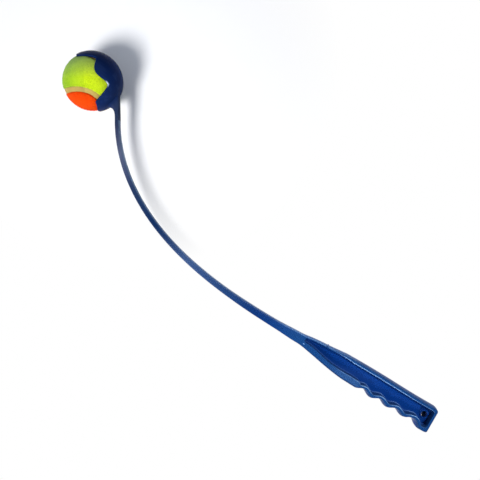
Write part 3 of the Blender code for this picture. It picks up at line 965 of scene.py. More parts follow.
    def section(self, place: float) -> list[SectionPoint]:
        """Closed section of the grip at a place along it."""
        share = place / self.length
        change = self.blend_track.at(share)
        half_depth = blend(self.half_depth, self.root_half_depth, change)
        half_depth -= corner_inset(place, self.butt_edge_round)
        radius = blend(self.edge_radius, self.root_edge_radius, change)
        lean = blend(self.side_lean, self.root_lean, change)
        back_side = self.side_shape.points(
            half_depth, radius, lean, self.back_side_track.at(share),
            self.back_edge_track.at(share))
        front_side = self.side_shape.points(
            half_depth, radius, lean, self.finger_side_wear, self.finger_edge_track.at(share),
            self.finger_top_track.at(share))
        back, front = -self.back_edge(place), self.front_edge(place)
        wall = back_side[-1].side + self.flange_wall
        back_rim = wall + self.back_rim_track.at(share)
        front_rim = wall + self.finger_rim_track.at(share)
        front_rim -= self.finger_rim_slack * self.groove_share(place)
        half_width = (front - back - back_rim - front_rim) / 2
        narrow = corner_inset(place - self.end_wall, self.recess_corner)
        narrow += corner_inset(self.tip - place, half_width * self.tip_round_share)
        depth = self.depth_share(place)
        shown = min(depth * self.wear_rise, 1.0)
        upper = []
        for half, rim, draft, fillet, edge, way in (
            (back_side, back_rim, self.recess_draft, self.recess_fillet, back, 1),
            (front_side, front_rim, self.finger_draft, self.finger_fillet, front, -1),
        ):
            wear = self.recess_wear(share, way < 0)
            profile = self.recess_profile(half_depth, half_width - narrow, draft, fillet, wear)
            for point in profile:
                height = blend(half_depth, point.height, depth)
                half.append(SectionPoint(rim + narrow + point.side, height, point.wear * shown))
            placed = [point._replace(side=edge + way * point.side) for point in half]
            foot = placed[-1]
            placed[-1] = foot._replace(wear=self.web_wear(place, foot.side) * shown)
            upper += placed[::way]
        return whole_ring(upper)

    def places(self) -> list[float]:
        """Places along the grip that its section is drawn at."""
        places = {0.0, self.end_wall, self.length, self.tip}
        for distance, _ in self.end_wall_profile():
            places.add(self.end_wall + distance)
        for step, angle in enumerate(quarter(self.corner_steps)):
            places.add(self.butt_back_corner * (1 - math.cos(angle)))
            places.add(self.tip - self.tip_slope * step / self.corner_steps)
            places.add(self.tip - self.tip_slope * (1 - math.cos(angle)) / 2)
        start = self.butt_back_corner + self.recess_fillet
        spans = round((self.length - start) / self.section_spacing)
        places.update(blend(start, self.length, step / spans) for step in range(spans))
        ordered = [0.0]
        for place in sorted(places):
            if place - ordered[-1] > self.least_spacing:
                ordered.append(place)
        return ordered

    def build_body(self) -> bpy.types.Object:
        """Draw the grip's section out along it."""
        skin = Skin([RingPoint(Vector((place, point.side, point.height)), point.wear)
                     for point in self.section(place)]
                    for place in self.places())
        skin.cap()
        return finish_piece("grip_moulding", skin.shape)

    def build_ring(self) -> bpy.types.Object:
        """Spin the raised ring of the hang hole."""
        web = self.web_thickness / 2
        top = web + self.ring_height
        round_off, foot = self.ring_round, self.ring_foot
        turns = quarter(self.round_steps)
        half = [(self.hole_radius + round_off * (1 - math.sin(angle)),
                 top - round_off * (1 - math.cos(angle))) for angle in reversed(turns)]
        half += [(self.ring_radius - round_off * (1 - math.sin(angle)),
                  top - round_off * (1 - math.cos(angle))) for angle in turns]
        half += [(self.ring_radius + foot * (1 - math.cos(angle)),
                  web + foot * (1 - math.sin(angle)) - self.ring_sink) for angle in turns]
        outline = half + [(radius, -height) for radius, height in reversed(half)]
        shape = bmesh.new()
        loop = [shape.verts.new((radius, 0.0, height)) for radius, height in outline]
        edges = [shape.edges.new(pair) for pair in zip(loop, loop[1:] + loop[:1])]
        bmesh.ops.spin(shape, geom=loop + edges, cent=(0, 0, 0), axis=(0, 0, 1),
                       angle=2 * math.pi, steps=self.ring_segments, use_merge=True)
        return self.place_at_hole("hang_ring", shape)

    def place_at_hole(self, name: str, shape: bmesh.types.BMesh) -> bpy.types.Object:
        """Move a shape to the hang hole and turn it into an object."""
        centre = Vector((self.hole_place, -self.hole_side, 0))
        bmesh.ops.translate(shape, verts=shape.verts, vec=centre)
        return finish_piece(name, shape)

    def build_plug(self) -> bpy.types.Object:
        """Make the round cutter that clears the web inside the ring."""
        shape = bmesh.new()
        radius = (self.hole_radius + self.ring_radius) / 2
        bmesh.ops.create_cone(shape, cap_ends=True, segments=self.ring_segments, radius1=radius,
                              radius2=radius, depth=self.web_thickness * 2)
        return self.place_at_hole("hang_plug", shape)

    def build_gate_mark(self) -> bpy.types.Object:
        """Make the stub that is left where the plastic flowed in."""
        shape = bmesh.new()
        bmesh.ops.create_cone(shape, cap_ends=True, segments=self.gate_segments,
                              radius1=self.gate_radius,
                              radius2=self.gate_radius * self.gate_flare, depth=self.gate_depth)
        rim = [edge for edge in shape.edges if all(vert.co.z < 0 for vert in edge.verts)]
        bmesh.ops.bevel(shape, geom=rim, offset=self.gate_radius * self.gate_bevel_share,
                        segments=2, profile=0.5, affect="EDGES", material=-1)
        bmesh.ops.rotate(shape, verts=shape.verts, cent=(0, 0, 0),
                         matrix=Matrix.Rotation(-math.pi / 2, 3, "X"))
        place = self.back_edge(self.gate_place) + self.gate_height - self.gate_depth / 2
        bmesh.ops.translate(shape, verts=shape.verts, vec=Vector((self.gate_place, -place, 0)))
        return finish_piece("gate_mark", shape)

    def build(self, material: bpy.types.Material) -> bpy.types.Object:
        """Build the whole grip and dress it."""
        grip = self.build_body()
        carve(grip, self.build_plug(), Carving.CUT)
        carve(grip, self.build_ring(), Carving.JOIN)
        carve(grip, self.build_gate_mark(), Carving.JOIN)
        smooth(grip, self.crisp_angle)
        hand_over(grip, Body.LAUNCHER, material, ["handle"])
        return grip


class Station(NamedTuple):
    """Place on the arm's centre line: share of its length, point and heading."""

    share: float
    point: Vector
    heading: float

    @property
    def ahead(self) -> Vector:
        """Direction of the centre line."""
        return Vector((math.cos(self.heading), math.sin(self.heading), 0))

    @property
    def across(self) -> Vector:
        """Direction square to the centre line, to the throwing side."""
        return Vector((-math.sin(self.heading), math.cos(self.heading), 0))

    def stand(self, section: Sequence[SectionPoint]) -> list[RingPoint]:
        """Stand a section square to the centre line."""
        lift = Vector((0, 0, 1))
        return [
            RingPoint(self.point + self.across * spot.side + lift * spot.height, spot.wear)
            for spot in section
        ]


@dataclass(frozen=True)
class Arm:
    """Springy arm whose bend tightens towards the cup."""

    root: Pair = (0.1820, -0.0056)
    length: float = 0.3430
    turn: float = math.radians(60.5)
    even_bend_share: float = 0.19
    bend_exponent: float = 2.4
    root_thickness: float = 0.0130
    tip_thickness: float = 0.0058
    half_depth: float = 0.0065
    edge_radius: float = 0.0013
    side_lean: float = math.radians(10)
    rings: int = 160
    samples_a_ring: int = 12
    crisp_angle: float = 50.0
    side_shape: SideShape = SideShape()
    # Painted reflection on the arm's back side and painted highlight along its back edge.
    back_side_track: Track = Track(((0.0, 0.34), (0.10, 0.30), (0.60, 0.30), (1.0, 0.22)))
    back_edge_track: Track = Track(((0.0, 0.50), (0.04, 0.45), (0.12, 0.15), (1.0, 0.12)))
    taper_track: Track = Track((
        (0.0, 0.0), (0.09, 0.37), (0.22, 0.55), (0.30, 0.66), (0.50, 0.79), (0.80, 0.92),
        (1.0, 1.0),
    ))

    def heading(self, share: float) -> float:
        """Heading of the centre line at a share of its length."""
        tightening = share**self.bend_exponent
        return -self.turn * blend(tightening, share, self.even_bend_share)

    def stations(self) -> list[Station]:
        """Follow the centre line from the grip to the neck."""
        samples = self.rings * self.samples_a_ring
        point = Vector((*self.root, 0.0))
        stations = [Station(0.0, point.copy(), 0.0)]
        for step in range(1, samples + 1):
            heading = self.heading((step - 0.5) / samples)
            point += self.length / samples * Vector((math.cos(heading), math.sin(heading), 0))
            if step % self.samples_a_ring == 0:
                share = step / samples
                stations.append(Station(share, point.copy(), self.heading(share)))
        return stations

    def section(self, share: float) -> list[SectionPoint]:
        """Closed section of the arm at a share of its length."""
        half = blend(self.root_thickness, self.tip_thickness, self.taper_track.at(share)) / 2
        sizes = (self.half_depth, self.edge_radius, self.side_lean)
        back = self.side_shape.points(
            *sizes, self.back_side_track.at(share), self.back_edge_track.at(share))
        front = self.side_shape.points(*sizes, 0.0, 0.0)
        upper = [point._replace(side=point.side - half) for point in back]
        upper += [point._replace(side=half - point.side) for point in reversed(front)]
        return whole_ring(upper)

    def build(self, material: bpy.types.Material) -> bpy.types.Object:
        """Draw the arm's section out along its centre line and dress it."""
        skin = Skin(station.stand(self.section(station.share)) for station in self.stations())
        skin.cap()
        arm = finish_piece("arm_moulding", skin.shape, self.crisp_angle)
        hand_over(arm, Body.LAUNCHER, material, ["arm"])
        return arm


class EdgeStop(NamedTuple):
    """Stop of the cup's edge: turn round its axis, angle from its back, steps before it."""

    turn: float
    angle: float
    steps: int


class Cup:
    """Four-lobed spherical cup, its rounded lips and the neck that carries it."""

    ball_radius: float = 0.03175
    clearance: float = 0.0004
    back_wall: float = 0.0040
    lip_wall: float = 0.0019
    inner_rings: int = 20
    lip_steps: int = 10
    step_factor: int = 4
    side_step: float = 0.0303
    reach: float = 0.0439
    mouth_turn: float = math.radians(110.5)
    edge: tuple[EdgeStop, ...] = (
        EdgeStop(math.radians(0), math.radians(97), 0),
        EdgeStop(math.radians(37), math.radians(94), 4),
        EdgeStop(math.radians(59), math.radians(58), 6),
        EdgeStop(math.radians(89), math.radians(67), 5),
        EdgeStop(math.radians(124), math.radians(53), 6),
        EdgeStop(math.radians(150), math.radians(91), 7),
        EdgeStop(math.radians(180), math.radians(96), 4),
    )
    # Painted shade on the lip, inside the cup and on the outside towards the lip on the prong's
    # side; a painted highlight at one notch of the lip.
    lip_shade: float = 0.8
    wall_shade: float = 0.40
    glint_turn: float = math.radians(122)
    glint_reach: float = math.radians(11)
    glint_roll: float = 0.35
    wall_shade_start: float = 0.1875
    wall_shade_fade: float = 0.625
    wall_shade_turn_share: float = 0.8
    neck_place: float = math.radians(52)
    neck_back_spread: float = math.radians(20)
    neck_lip_spread: float = math.radians(34)
    neck_side_flare: float = 0.0035
    neck_back_pulls: Pair = (1.2, 0.6)
    neck_lip_pulls: Pair = (2.2, 1.6)
    neck_steps: int = 40
    # Faint painted highlight on the neck near the arm.
    neck_wear: float = 0.02
    neck_highlight_reach: float = 0.0060
    neck_slack: float = 0.00005

    def __init__(self, arm: Arm) -> None:
        """Place the cup at the end of the arm."""
        self.arm = arm
        self.tip = arm.stations()[-1]
        mouth_angle = self.tip.heading + self.mouth_turn
        self.mouth = Vector((math.cos(mouth_angle), math.sin(mouth_angle), 0))
        self.prong = Vector((self.mouth.y, -self.mouth.x, 0))
        self.lift = Vector((0, 0, 1))
        self.centre = self.tip.point + self.tip.ahead * self.reach + (
            self.tip.across * self.side_step
        )
        self.inner_radius = self.ball_radius + self.clearance

    def edge_angle(self, turn: float) -> float:
        """Angle of the lobed edge away from the cup's back."""
        turn = min(turn, 2 * math.pi - turn)
        for before, after in zip(self.edge, self.edge[1:]):
            if turn <= after.turn:
                part = (turn - before.turn) / (after.turn - before.turn)
                return blend(before.angle, after.angle, ease(part))
        return self.edge[-1].angle

    def turns(self) -> list[float]:
        """Angles round the axis that the wall is drawn at, closest where its edge is steep."""
        half = [0.0]
        for before, after in zip(self.edge, self.edge[1:]):
            steps = after.steps * self.step_factor
            half += [blend(before.turn, after.turn, step / steps) for step in range(1, steps + 1)]
        return half + [2 * math.pi - turn for turn in reversed(half[1:-1])]

    def outer_radius(self, angle: float) -> float:
        """Distance of the outside from the ball's centre, thickest at the back."""
        shift = self.back_wall - self.lip_wall
        radius = self.inner_radius + self.lip_wall
        return shift * math.cos(angle) + math.sqrt(radius**2 - (shift * math.sin(angle)) ** 2)

    def direction(self, angle: float, turn: float) -> Vector:
        """Direction from the ball's centre at an angle from the back and a turn."""
        around = self.prong * math.cos(turn) + self.lift * math.sin(turn)
        return -self.mouth * math.cos(angle) + around * math.sin(angle)

    def place(self, angle: float, turn: float, radius: float) -> Vector:
        """Point of the cup from its two angles and its distance from the centre."""
        return self.centre + self.direction(angle, turn) * radius

    def lip_ring(self, turns: Sequence[float], roll: float) -> list[RingPoint]:
        """Ring round the rounded lip, from its inside at 0 to its outside at a half turn."""
        ring = []
        for turn in turns:
            edge = self.edge_angle(turn)
            half_wall = (self.outer_radius(edge) - self.inner_radius) / 2
            middle = self.inner_radius + half_wall
            angle = edge + math.sin(roll) * half_wall / middle
            radius = middle - half_wall * math.cos(roll)
            ring.append(RingPoint(self.place(angle, turn, radius), self.lip_wear(turn, roll)))
        return ring

    def lip_wear(self, turn: float, roll: float) -> float:
        """Painted light of the lip: painted shade inside, and a painted highlight at one notch."""
        bright = ease(1 - abs(turn - self.glint_turn) / self.glint_reach)
        bright *= max(math.sin(roll - self.glint_roll), 0.0) ** 4
        shade_depth = blend(self.lip_shade, -self.wall_wear(1.0, turn), ease(roll / math.pi))
        return blend(-shade_depth, 1.0, bright)

    def wall_wear(self, share: float, turn: float) -> float:
        """Painted shade of the outside, darker towards the lip on the prong's side."""
        towards_lip = ease((share - self.wall_shade_start) / self.wall_shade_fade)
        return -self.wall_shade * towards_lip * ease(0.5 + self.wall_shade_turn_share * math.cos(turn))

    def wall_ring(self, turns: Sequence[float], share: float, inside: bool) -> list[RingPoint]:
        """Ring of the wall's inside or outside, at a share of the way to its edge."""
        ring = []
        for turn in turns:
            angle = self.edge_angle(turn) * share
            radius = self.inner_radius if inside else self.outer_radius(angle)
            # The inside is painted in shade; the outside takes its painted shade.
            wear = -self.lip_shade if inside else self.wall_wear(share, turn)
            ring.append(RingPoint(self.place(angle, turn, radius), wear))
        return ring

    def build_bowl(self) -> bpy.types.Object:
        """Draw the wall from inside the back, over the lips, to the outside of the back."""
        turns = self.turns()
        shares = [step / self.inner_rings for step in range(1, self.inner_rings + 1)]
        rings = [self.wall_ring(turns, share, True) for share in shares]
        rings += [self.lip_ring(turns, math.pi * step / self.lip_steps)
                  for step in range(1, self.lip_steps)]
        rings += [self.wall_ring(turns, share, False) for share in reversed(shares)]
        skin = Skin(rings)
        skin.cap(self.place(0.0, 0.0, self.inner_radius),
                 self.place(0.0, 0.0, self.outer_radius(0.0)))
        return finish_piece("cup_moulding", skin.shape)

    def neck_end(self, spot: SectionPoint) -> Vector:
        """Point where the neck has spread into the wall, for a point of the arm's section."""
        spread = self.neck_lip_spread if spot.side > 0 else self.neck_back_spread
        angle = self.neck_place + spread * spot.side / (self.arm.tip_thickness / 2)
        radius = (self.inner_radius + self.outer_radius(angle)) / 2
        tall = spot.height * (1 + self.neck_side_flare / self.arm.half_depth)
        flat = math.sqrt(radius**2 - tall**2)
        sideways = -self.mouth * math.cos(angle) - self.prong * math.sin(angle)
        return self.centre + sideways * flat + self.lift * tall

    def neck_point(self, spot: SectionPoint, start: Vector, foot: Vector, part: float) -> Vector:
        """Point of the neck.

        Args:
            spot: Point of the arm's section that it comes from.
            start: Where that point stands at the arm's end.
            foot: Middle of the neck's end, in the wall.
            part: How far the neck has gone, from 0 to 1.

        Returns:
            The point.
        """
        end = self.neck_end(spot)
        outward = (end - self.centre).normalized()
        spread = end - foot
        spread = (spread - outward * spread.dot(outward)).normalized()
        lipward = ease(spot.side / (self.arm.tip_thickness / 2))
        pulls = [blend(back, lip, lipward) * (end - start).length
                 for back, lip in zip(self.neck_back_pulls, self.neck_lip_pulls)]
        return hermite(start, self.tip.ahead * pulls[0], end, spread * pulls[1], part)

    def build_neck(self) -> bpy.types.Object:
        """Draw the neck from the arm's end until it has spread into the wall."""
        section = self.arm.section(1.0)
        pairs = list(zip(section, self.tip.stand(section)))
        middle_radius = (self.inner_radius + self.outer_radius(self.neck_place)) / 2
        foot = self.place(self.neck_place, math.pi, middle_radius)
        parts = [step / self.neck_steps for step in range(self.neck_steps + 1)]
        skin = Skin([RingPoint(self.neck_point(spot, start.place, foot, part), 0.0)
                     for spot, start in pairs]
                    for part in parts)
        skin.cap(last_peak=foot)
        return finish_piece("neck", skin.shape)

    def mark_wear(self, cup: bpy.types.Object) -> None:
        """Note the painted light of the wall's outside and the neck, which the join mixes up."""
        wear = cup.data.attributes[PAINTED_LIGHT_ATTRIBUTE].data
        for vertex in cup.data.vertices:
            away = vertex.co - self.centre
            angle = away.angle(-self.mouth)
            turn = math.atan2(away.dot(self.lift), away.dot(self.prong)) % (2 * math.pi)
            off_wall = away.length - self.outer_radius(angle)
            if off_wall > -self.neck_slack:
                share = angle / self.edge_angle(turn)
                near_tip = ease(off_wall / self.neck_highlight_reach)
                wear[vertex.index].value = blend(
                    self.wall_wear(share, turn), self.neck_wear, near_tip)

    def build(self, material: bpy.types.Material) -> bpy.types.Object:
        """Build the cup with its neck and dress it."""
        cup = self.build_bowl()
        carve(cup, self.build_neck(), Carving.JOIN)
        self.mark_wear(cup)
        smooth(cup, self.arm.crisp_angle)
        hand_over(cup, Body.LAUNCHER, material, ["cup"])
        return cup


def hermite(start: Vector, leaving: Vector, end: Vector, arriving: Vector, part: float) -> Vector:
    """Point on a cubic that leaves and arrives along two pulls."""
    square, cube = part * part, part * part * part
    return (
        start * (2 * cube - 3 * square + 1)
        + leaving * (cube - 2 * square + part)
        + end * (3 * square - 2 * cube)
        + arriving * (cube - square)
    )


class PanelSide(Enum):
    """The two felt panels, by the side of the seam that they lie on."""

    ORANGE = 1
    GREEN = -1


@dataclass(frozen=True)
class Ball:
    """Ball of two felt panels and the rubber seam between them."""

    centre: Vector
    mouth: Vector
    radius: float
    felt_thickness: float = 0.0030
    felt_edge_round: float = 0.0010
    seam_width: float = 0.0056
    seam_drop: float = 0.0006
    seam_edge_drop: float = 0.0004
    gap: float = 0.0003
    turn: Triple = (math.radians(156), math.radians(-8), math.radians(102))
    lobe_share: float = 0.8
    panel_rows: int = 144
    panel_columns: int = 44
    seam_rings: int = 240
    seam_samples: int = 720
    sheet_weld: float = 0.000004
    crisp_angle: float = 60.0
    seam_width_share: float = 0.985
    seam_spots: int = 4
    fuzz_height: float = 0.0008
    fuzz_lean: float = 0.0007
    fuzz_inset: float = 0.45
    fuzz_gaps: float = 0.25
    fuzz_crisp_angle: float = 180.0
    fuzz_least_area: float = 1e-11
    fuzz_least_rise: float = 0.35
    fuzz_shown_edges: Span = (-0.35, 0.25)

    @property
    def standing(self) -> Matrix:
        """Turn and place of the ball in the model's frame."""
        return Matrix.Translation(self.centre) @ Euler(self.turn, "XYZ").to_matrix().to_4x4()

    def seam_direction(self, turn: float, offset: float) -> Vector:
        """Direction from the ball's centre beside its seam, moved across it by an angle."""
        lobe = self.lobe_share
        neck = 1 - lobe
        rise = 2 * math.sqrt(lobe * neck)
        on_seam = Vector((
            lobe * math.cos(turn) - neck * math.cos(3 * turn),
            lobe * math.sin(turn) + neck * math.sin(3 * turn),
            -rise * math.cos(2 * turn),
        ))
        heading = Vector((
            -lobe * math.sin(turn) + 3 * neck * math.sin(3 * turn),
            lobe * math.cos(turn) + 3 * neck * math.cos(3 * turn),
            2 * rise * math.sin(2 * turn),
        )).normalized()
        across = on_seam.cross(heading)
        return on_seam * math.cos(offset) + across * math.sin(offset)

    def seam_line(self) -> np.ndarray:
        """Directions along the middle of the seam, one row each."""
        samples = self.seam_samples
        line = [self.seam_direction(2 * math.pi * step / samples, 0.0) for step in range(samples)]
        return np.array([list(direction) for direction in line])

    def round_edge(self, direction: Vector, line: np.ndarray) -> Vector:
        """Place a point of the felt's outside, drawn in where the felt rolls into the seam."""
        angle = math.acos(min(float((line @ np.array(direction)).max()), 1.0))
        distance = (angle - self.edge_offset) * self.radius
        return direction * (self.radius - corner_inset(distance, self.felt_edge_round))

    @property
    def edge_offset(self) -> float:
        """Angle between the middle of the seam and the edge of the felt."""
        return (self.seam_width / 2 + self.gap) / self.radius

    def panel_row(self, step: int) -> list[Vector]:
        """Directions across the orange panel at one of its rows."""
        edge = self.seam_direction(math.pi * step / self.panel_rows, self.edge_offset)
        turn, width = math.atan2(edge.x, edge.z), math.asin(edge.y)
        row = []
        for column in range(self.panel_columns + 1):
            share = math.sin(math.pi / 2 * (2 * column / self.panel_columns - 1))
            lean = width * share
            row.append(Vector((math.cos(lean) * math.sin(turn), math.sin(lean),
                               math.cos(lean) * math.cos(turn))))
        return row

    def build_sheet(self) -> bmesh.types.BMesh:
        """Draw the outside of the orange panel, with rolled edges."""
        line = self.seam_line()
        rows = ([RingPoint(self.round_edge(direction, line), 0.0)
                 for direction in self.panel_row(step)]
                for step in range(self.panel_rows + 1))
        shape = Skin(rows, closed=False).shape
        bmesh.ops.remove_doubles(shape, verts=shape.verts, dist=self.sheet_weld)
        return shape

    def side_turn(self, side: PanelSide) -> Matrix:
        """Turn that takes the orange panel to the place of either one."""
        if side is PanelSide.ORANGE:
            return Matrix.Identity(4)
        return Matrix(((0, 1, 0, 0), (1, 0, 0, 0), (0, 0, -1, 0), (0, 0, 0, 1)))

    def build_panel(self, side: PanelSide, name: str) -> bpy.types.Object:
        """Close the panel's outside with a wall and an inside, and put it in place.

        Args:
            side: Which panel it is.
            name: Name of the piece.

        Returns:
            The panel.
        """
        shape = self.build_sheet()
        outside = list(shape.faces)
        rim = [edge for edge in shape.edges if edge.is_boundary]
        copied = bmesh.ops.duplicate(shape, geom=outside)["geom"]
        inside = [item for item in copied if isinstance(item, BMFace)]
        for vertex in {vertex for face in inside for vertex in face.verts}:
            vertex.co = vertex.co.normalized() * (self.radius - self.felt_thickness)
        bmesh.ops.reverse_faces(shape, faces=inside)
        both = [edge for edge in shape.edges if edge.is_boundary]
        assert len(both) == 2 * len(rim)
        bmesh.ops.bridge_loops(shape, edges=both)
        bmesh.ops.transform(shape, verts=shape.verts, matrix=self.standing @ self.side_turn(side))
        return finish_piece(name, shape, self.crisp_angle)

    def seam_ring(self, turn: float) -> list[RingPoint]:
        """Section of the seam at an angle round its line."""
        half = self.edge_offset * self.seam_width_share
        top = self.radius - self.seam_drop
        low = self.radius - self.felt_thickness
        ring = [self.seam_direction(turn, -half) * low]
        for spot in range(-self.seam_spots, self.seam_spots + 1):
            share = spot / self.seam_spots
            ring.append(self.seam_direction(turn, half * share)
                        * (top - self.seam_edge_drop * share**4))
        ring.append(self.seam_direction(turn, half) * low)
        return [RingPoint(point, 0.0) for point in ring]

    def build_seam(self) -> bpy.types.Object:
        """Draw the seam's section round its line."""
        skin = Skin(self.seam_ring(2 * math.pi * step / self.seam_rings)
                    for step in range(self.seam_rings))
        shape = skin.shape
        bmesh.ops.bridge_loops(shape, edges=skin.edges(skin.first) + skin.edges(skin.row))
        bmesh.ops.transform(shape, verts=shape.verts, matrix=self.standing)
        return finish_piece("ball_seam_rubber", shape, self.crisp_angle)

    def build_fuzz(self, side: PanelSide, name: str) -> bpy.types.Object:
        """Raise loose fibres all over a panel, shorter where the cup covers it.

        Args:
            side: Which panel they stand on.
            name: Name of the piece.

        Returns:
            The fibres as one piece.
        """
        chance = random.Random(FUZZ_SEED + side.value)
        shape = self.build_sheet()
        bmesh.ops.transform(shape, verts=shape.verts, matrix=self.standing @ self.side_turn(side))
        bmesh.ops.recalc_face_normals(shape, faces=shape.faces)
        shape.verts.index_update()
        ordered = sorted(shape.faces,
                         key=lambda face: sorted(vertex.index for vertex in face.verts))
        rims = bmesh.ops.inset_individual(shape, faces=ordered, thickness=self.fuzz_inset,
                                          use_relative_offset=True)["faces"]
        bmesh.ops.delete(shape, geom=rims, context="FACES")
        kept, sparse = [], []
        for face in ordered:
            left_out = chance.random() < self.fuzz_gaps or face.calc_area() < self.fuzz_least_area
            (sparse if left_out else kept).append(face)
        bmesh.ops.delete(shape, geom=sparse, context="FACES")
        hidden, shown = self.fuzz_shown_edges
        for tip in bmesh.ops.poke(shape, faces=kept)["verts"]:
            outward = (tip.co - self.centre).normalized()
            bare = ease((outward.dot(self.mouth) - hidden) / (shown - hidden))
            rise = self.fuzz_height * chance.uniform(self.fuzz_least_rise, 1.0)
            rise *= blend(self.fuzz_least_rise, 1.0, bare)
            lean = Vector((chance.gauss(0, 1), chance.gauss(0, 1), chance.gauss(0, 1)))
            tip.co += outward * rise + (lean - outward * lean.dot(outward)) * self.fuzz_lean
        return finish_piece(name, shape, self.fuzz_crisp_angle)

    def build(self, green: Felt, orange: Felt, seam: Rubber, core: Rubber) -> None:
        """Build every piece of the ball and dress it.

        Args:
            green: Finish of the green panel.
            orange: Finish of the orange panel.
            seam: Finish of the seam.
            core: Finish of the hidden rubber halves.
        """
        panels = (
            (PanelSide.GREEN, "green", green.build(), "felt_panel_green"),
            (PanelSide.ORANGE, "orange", orange.build(), "felt_panel_orange"),
        )
        for side, word, material, node in panels:
            panel = self.build_panel(side, f"{word}_felt_panel")
            hand_over(panel, Body.BALL, material, [node])
            fuzz = self.build_fuzz(side, f"{word}_felt_fibres")
            hand_over(fuzz, Body.BALL, material)
        band = self.build_seam()
        hand_over(band, Body.BALL, seam.build(), ["ball_seam"])
        rubber = core.build()
        for node in ("core_half_upper", "core_half_lower"):
            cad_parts[node].data.materials.clear()
            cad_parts[node].data.materials.append(rubber)
            LOG.info("%s: dressed in %s", node, rubber.name)


@dataclass(frozen=True)
class Lamp:
    """Soft round spotlight that faces a place on the object and fades round it."""

    name: str
    aim: Triple
    towards: Pair
    elevation: float
    radius: float
    cone: float
    fade: float
    power: float
    distance: float = 2.0
    colour: Triple = (1.0, 0.99, 0.97)

    def build(self) -> None:
        """Hang the lamp so that it faces its aim."""
        data = bpy.data.lights.new(self.name, "SPOT")
        data.shadow_soft_size = self.radius
        data.spot_size = self.cone
        data.spot_blend = self.fade
        data.energy = self.power
        data.color = self.colour
        flat = Vector((*self.towards, 0.0)).normalized() * math.cos(self.elevation)
        away = flat + Vector((0, 0, math.sin(self.elevation)))
        lamp = bpy.data.objects.new(self.name, data)
        lamp.location = Vector(self.aim) + away * self.distance
        lamp.rotation_euler = away.to_track_quat("Z", "Y").to_euler()
        bpy.context.scene.collection.objects.link(lamp)


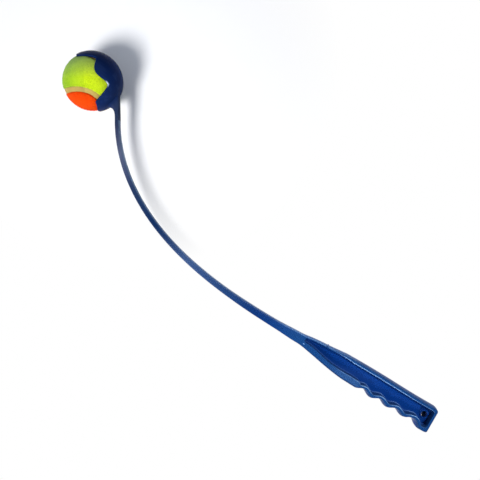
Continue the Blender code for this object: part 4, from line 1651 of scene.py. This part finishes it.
@dataclass(frozen=True)
class Studio:
    """Floor, camera and soft light round the launcher."""

    cup_place: float = 0.535
    floor_gap: float = 0.0001
    floor_size: float = 8.0
    floor_steps: int = 800
    view_centre: Pair = (0.29835, -0.06964)
    view_up: Pair = PICTURE_UP
    view_height: float = 0.657
    focal_pixels: float = 544.7
    picture_pixels: float = 480.0
    sensor: float = 36.0
    clip_start: float = 0.01
    sag_start: float = 0.37
    sag_end: float = 0.52
    sag_bend: float = 1.6
    room_light: float = 0.54
    room_tilt: float = 0.40
    ceiling_light: float = 0.06
    ceiling_edge: Pair = (0.78, 0.97)
    room_colour: Triple = (0.74, 0.83, 1.0)
    lamps: tuple[Lamp, ...] = (
        Lamp("cup_lamp", aim=(0.5375, -0.1406, 0.0), towards=(0.171, 0.985),
             elevation=math.radians(50), radius=0.37, cone=math.radians(29), fade=0.75,
             power=212.0),
        Lamp("grip_lamp", aim=(0.08, 0.0, 0.0), towards=(-0.171, -0.985),
             elevation=math.radians(76), radius=0.26, cone=math.radians(20), fade=0.9,
             power=118.0),
    )

    def drops(self) -> Pair:
        """How far the cup and the butt reach below the plane of the arm."""
        return -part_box("cup")[0].z, -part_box("handle")[0].z

    def slope(self) -> float:
        """Fall of the floor along X, from the butt down to the cup."""
        cup_drop, butt_drop = self.drops()
        return (cup_drop - butt_drop) / self.cup_place

    def floor_normal(self) -> Vector:
        """Direction square to the floor."""
        return Vector((self.slope(), 0, 1)).normalized()

    def floor_point(self, place: Pair) -> Vector:
        """Point of the floor under a place in the plane of the arm."""
        return Vector((*place, -self.drops()[1] - self.slope() * place[0]))

    def build_floor(self, finish: StudioFloor) -> None:
        """Lay a sheet of paper flat under the grip, sagging to the floor of the cup."""
        shape = bmesh.new()
        bmesh.ops.create_grid(shape, x_segments=self.floor_steps, y_segments=2,
                              size=self.floor_size / 2)
        cup_drop, butt_drop = self.drops()
        for vertex in shape.verts:
            share = (vertex.co.x - self.sag_start) / (self.sag_end - self.sag_start)
            share = min(max(share, 0.0), 1.0) ** self.sag_bend
            vertex.co.z = -blend(butt_drop, cup_drop, share) - self.floor_gap
        floor = finish_piece("paper_floor", shape)
        floor.data.materials.append(finish.build())

    def build_world(self) -> None:
        """Fill the room with cool light, brighter from the throwing side, under a dark ceiling."""
        world = bpy.data.worlds.new("soft_room")
        bpy.context.scene.world = world
        sheet = NodeSheet(world, "Background")
        around = sheet.add("ShaderNodeTexCoord").outputs["Generated"]
        way = sheet.add("ShaderNodeSeparateXYZ", {0: around})
        fade = sheet.span(way.outputs["Z"], *self.ceiling_edge, self.room_light,
                          self.ceiling_light, "SMOOTHSTEP")
        tilt = sheet.span(way.outputs["Y"], -1.0, 1.0, 1 - self.room_tilt, 1 + self.room_tilt)
        sheet.finish(Color=(*self.room_colour, 1.0), Strength=sheet.math("MULTIPLY", fade, tilt))

    def build_camera(self) -> None:
        """Look square down on the floor, turned as the photograph is."""
        normal = self.floor_normal()
        up = Vector((*self.view_up, 0.0))
        up = (up - normal * up.dot(normal)).normalized()
        right = up.cross(normal)
        standing = Matrix((right, up, normal)).transposed().to_4x4()
        standing.translation = self.floor_point(self.view_centre) + normal * self.view_height
        data = bpy.data.cameras.new("picture_camera")
        data.sensor_width = self.sensor
        data.lens = self.focal_pixels / self.picture_pixels * self.sensor
        data.clip_start = self.clip_start
        camera = bpy.data.objects.new("picture_camera", data)
        camera.matrix_world = standing
        bpy.context.scene.collection.objects.link(camera)
        bpy.context.scene.camera = camera

    def build(self) -> None:
        """Set up the floor, light and camera."""
        self.build_floor(StudioFloor())
        self.build_world()
        for lamp in self.lamps:
            lamp.build()
        self.build_camera()
        bpy.context.scene.view_settings.view_transform = "Standard"


def main() -> None:
    """Build and dress the launcher, its ball and the studio."""
    logging.basicConfig(level=logging.INFO, format="%(name)s: %(message)s")
    arm = Arm()
    cup = Cup(arm)
    Grip().build(MouldedPlastic("grip_blue_plastic", specular=0.01).build())
    arm.build(MouldedPlastic("arm_blue_plastic", specular=0.06).build())
    # The cup's painted highlight tint is whiter, for the glint on its lip.
    cup.build(MouldedPlastic("cup_navy_plastic", (0.75, 0.84, 0.95), specular=0.01).build())
    across = Vector((*PICTURE_RIGHT, 0.0))
    join = CoreJoin(cup.centre - across * JOIN_OFFSET, across, Vector((*PICTURE_UP, 0.0)))
    Ball(cup.centre, cup.mouth, cup.ball_radius).build(
        green=Felt("green_ball_felt", deep=(0.33, 0.49, 0.005), middle=(0.55, 0.71, 0.007),
                   pale=(0.66, 0.81, 0.02), top_shade_colour=(0.17, 0.29, 0.100), shaded=(0.50, 0.63, 1.0),
                   sheen_tint=(0.8, 0.95, 0.6), join=join),
        orange=Felt("orange_ball_felt", deep=(0.60, 0.038, 0.001), middle=(0.73, 0.054, 0.001),
                    pale=(0.82, 0.076, 0.002), top_shade_colour=(0.45, 0.09, 0.02), shaded=(0.92, 0.90, 1.0),
                    sheen_tint=(1.0, 0.45, 0.15), join=join, sheen=0.05),
        seam=Rubber("tan_seam_rubber", (0.48, 0.33, 0.070), (0.30, 0.20, 0.045), join),
        core=Rubber("dark_core_rubber", (0.06, 0.055, 0.05), (0.035, 0.032, 0.03)),
    )
    Studio().build()


if __name__ == "__main__":
    main()
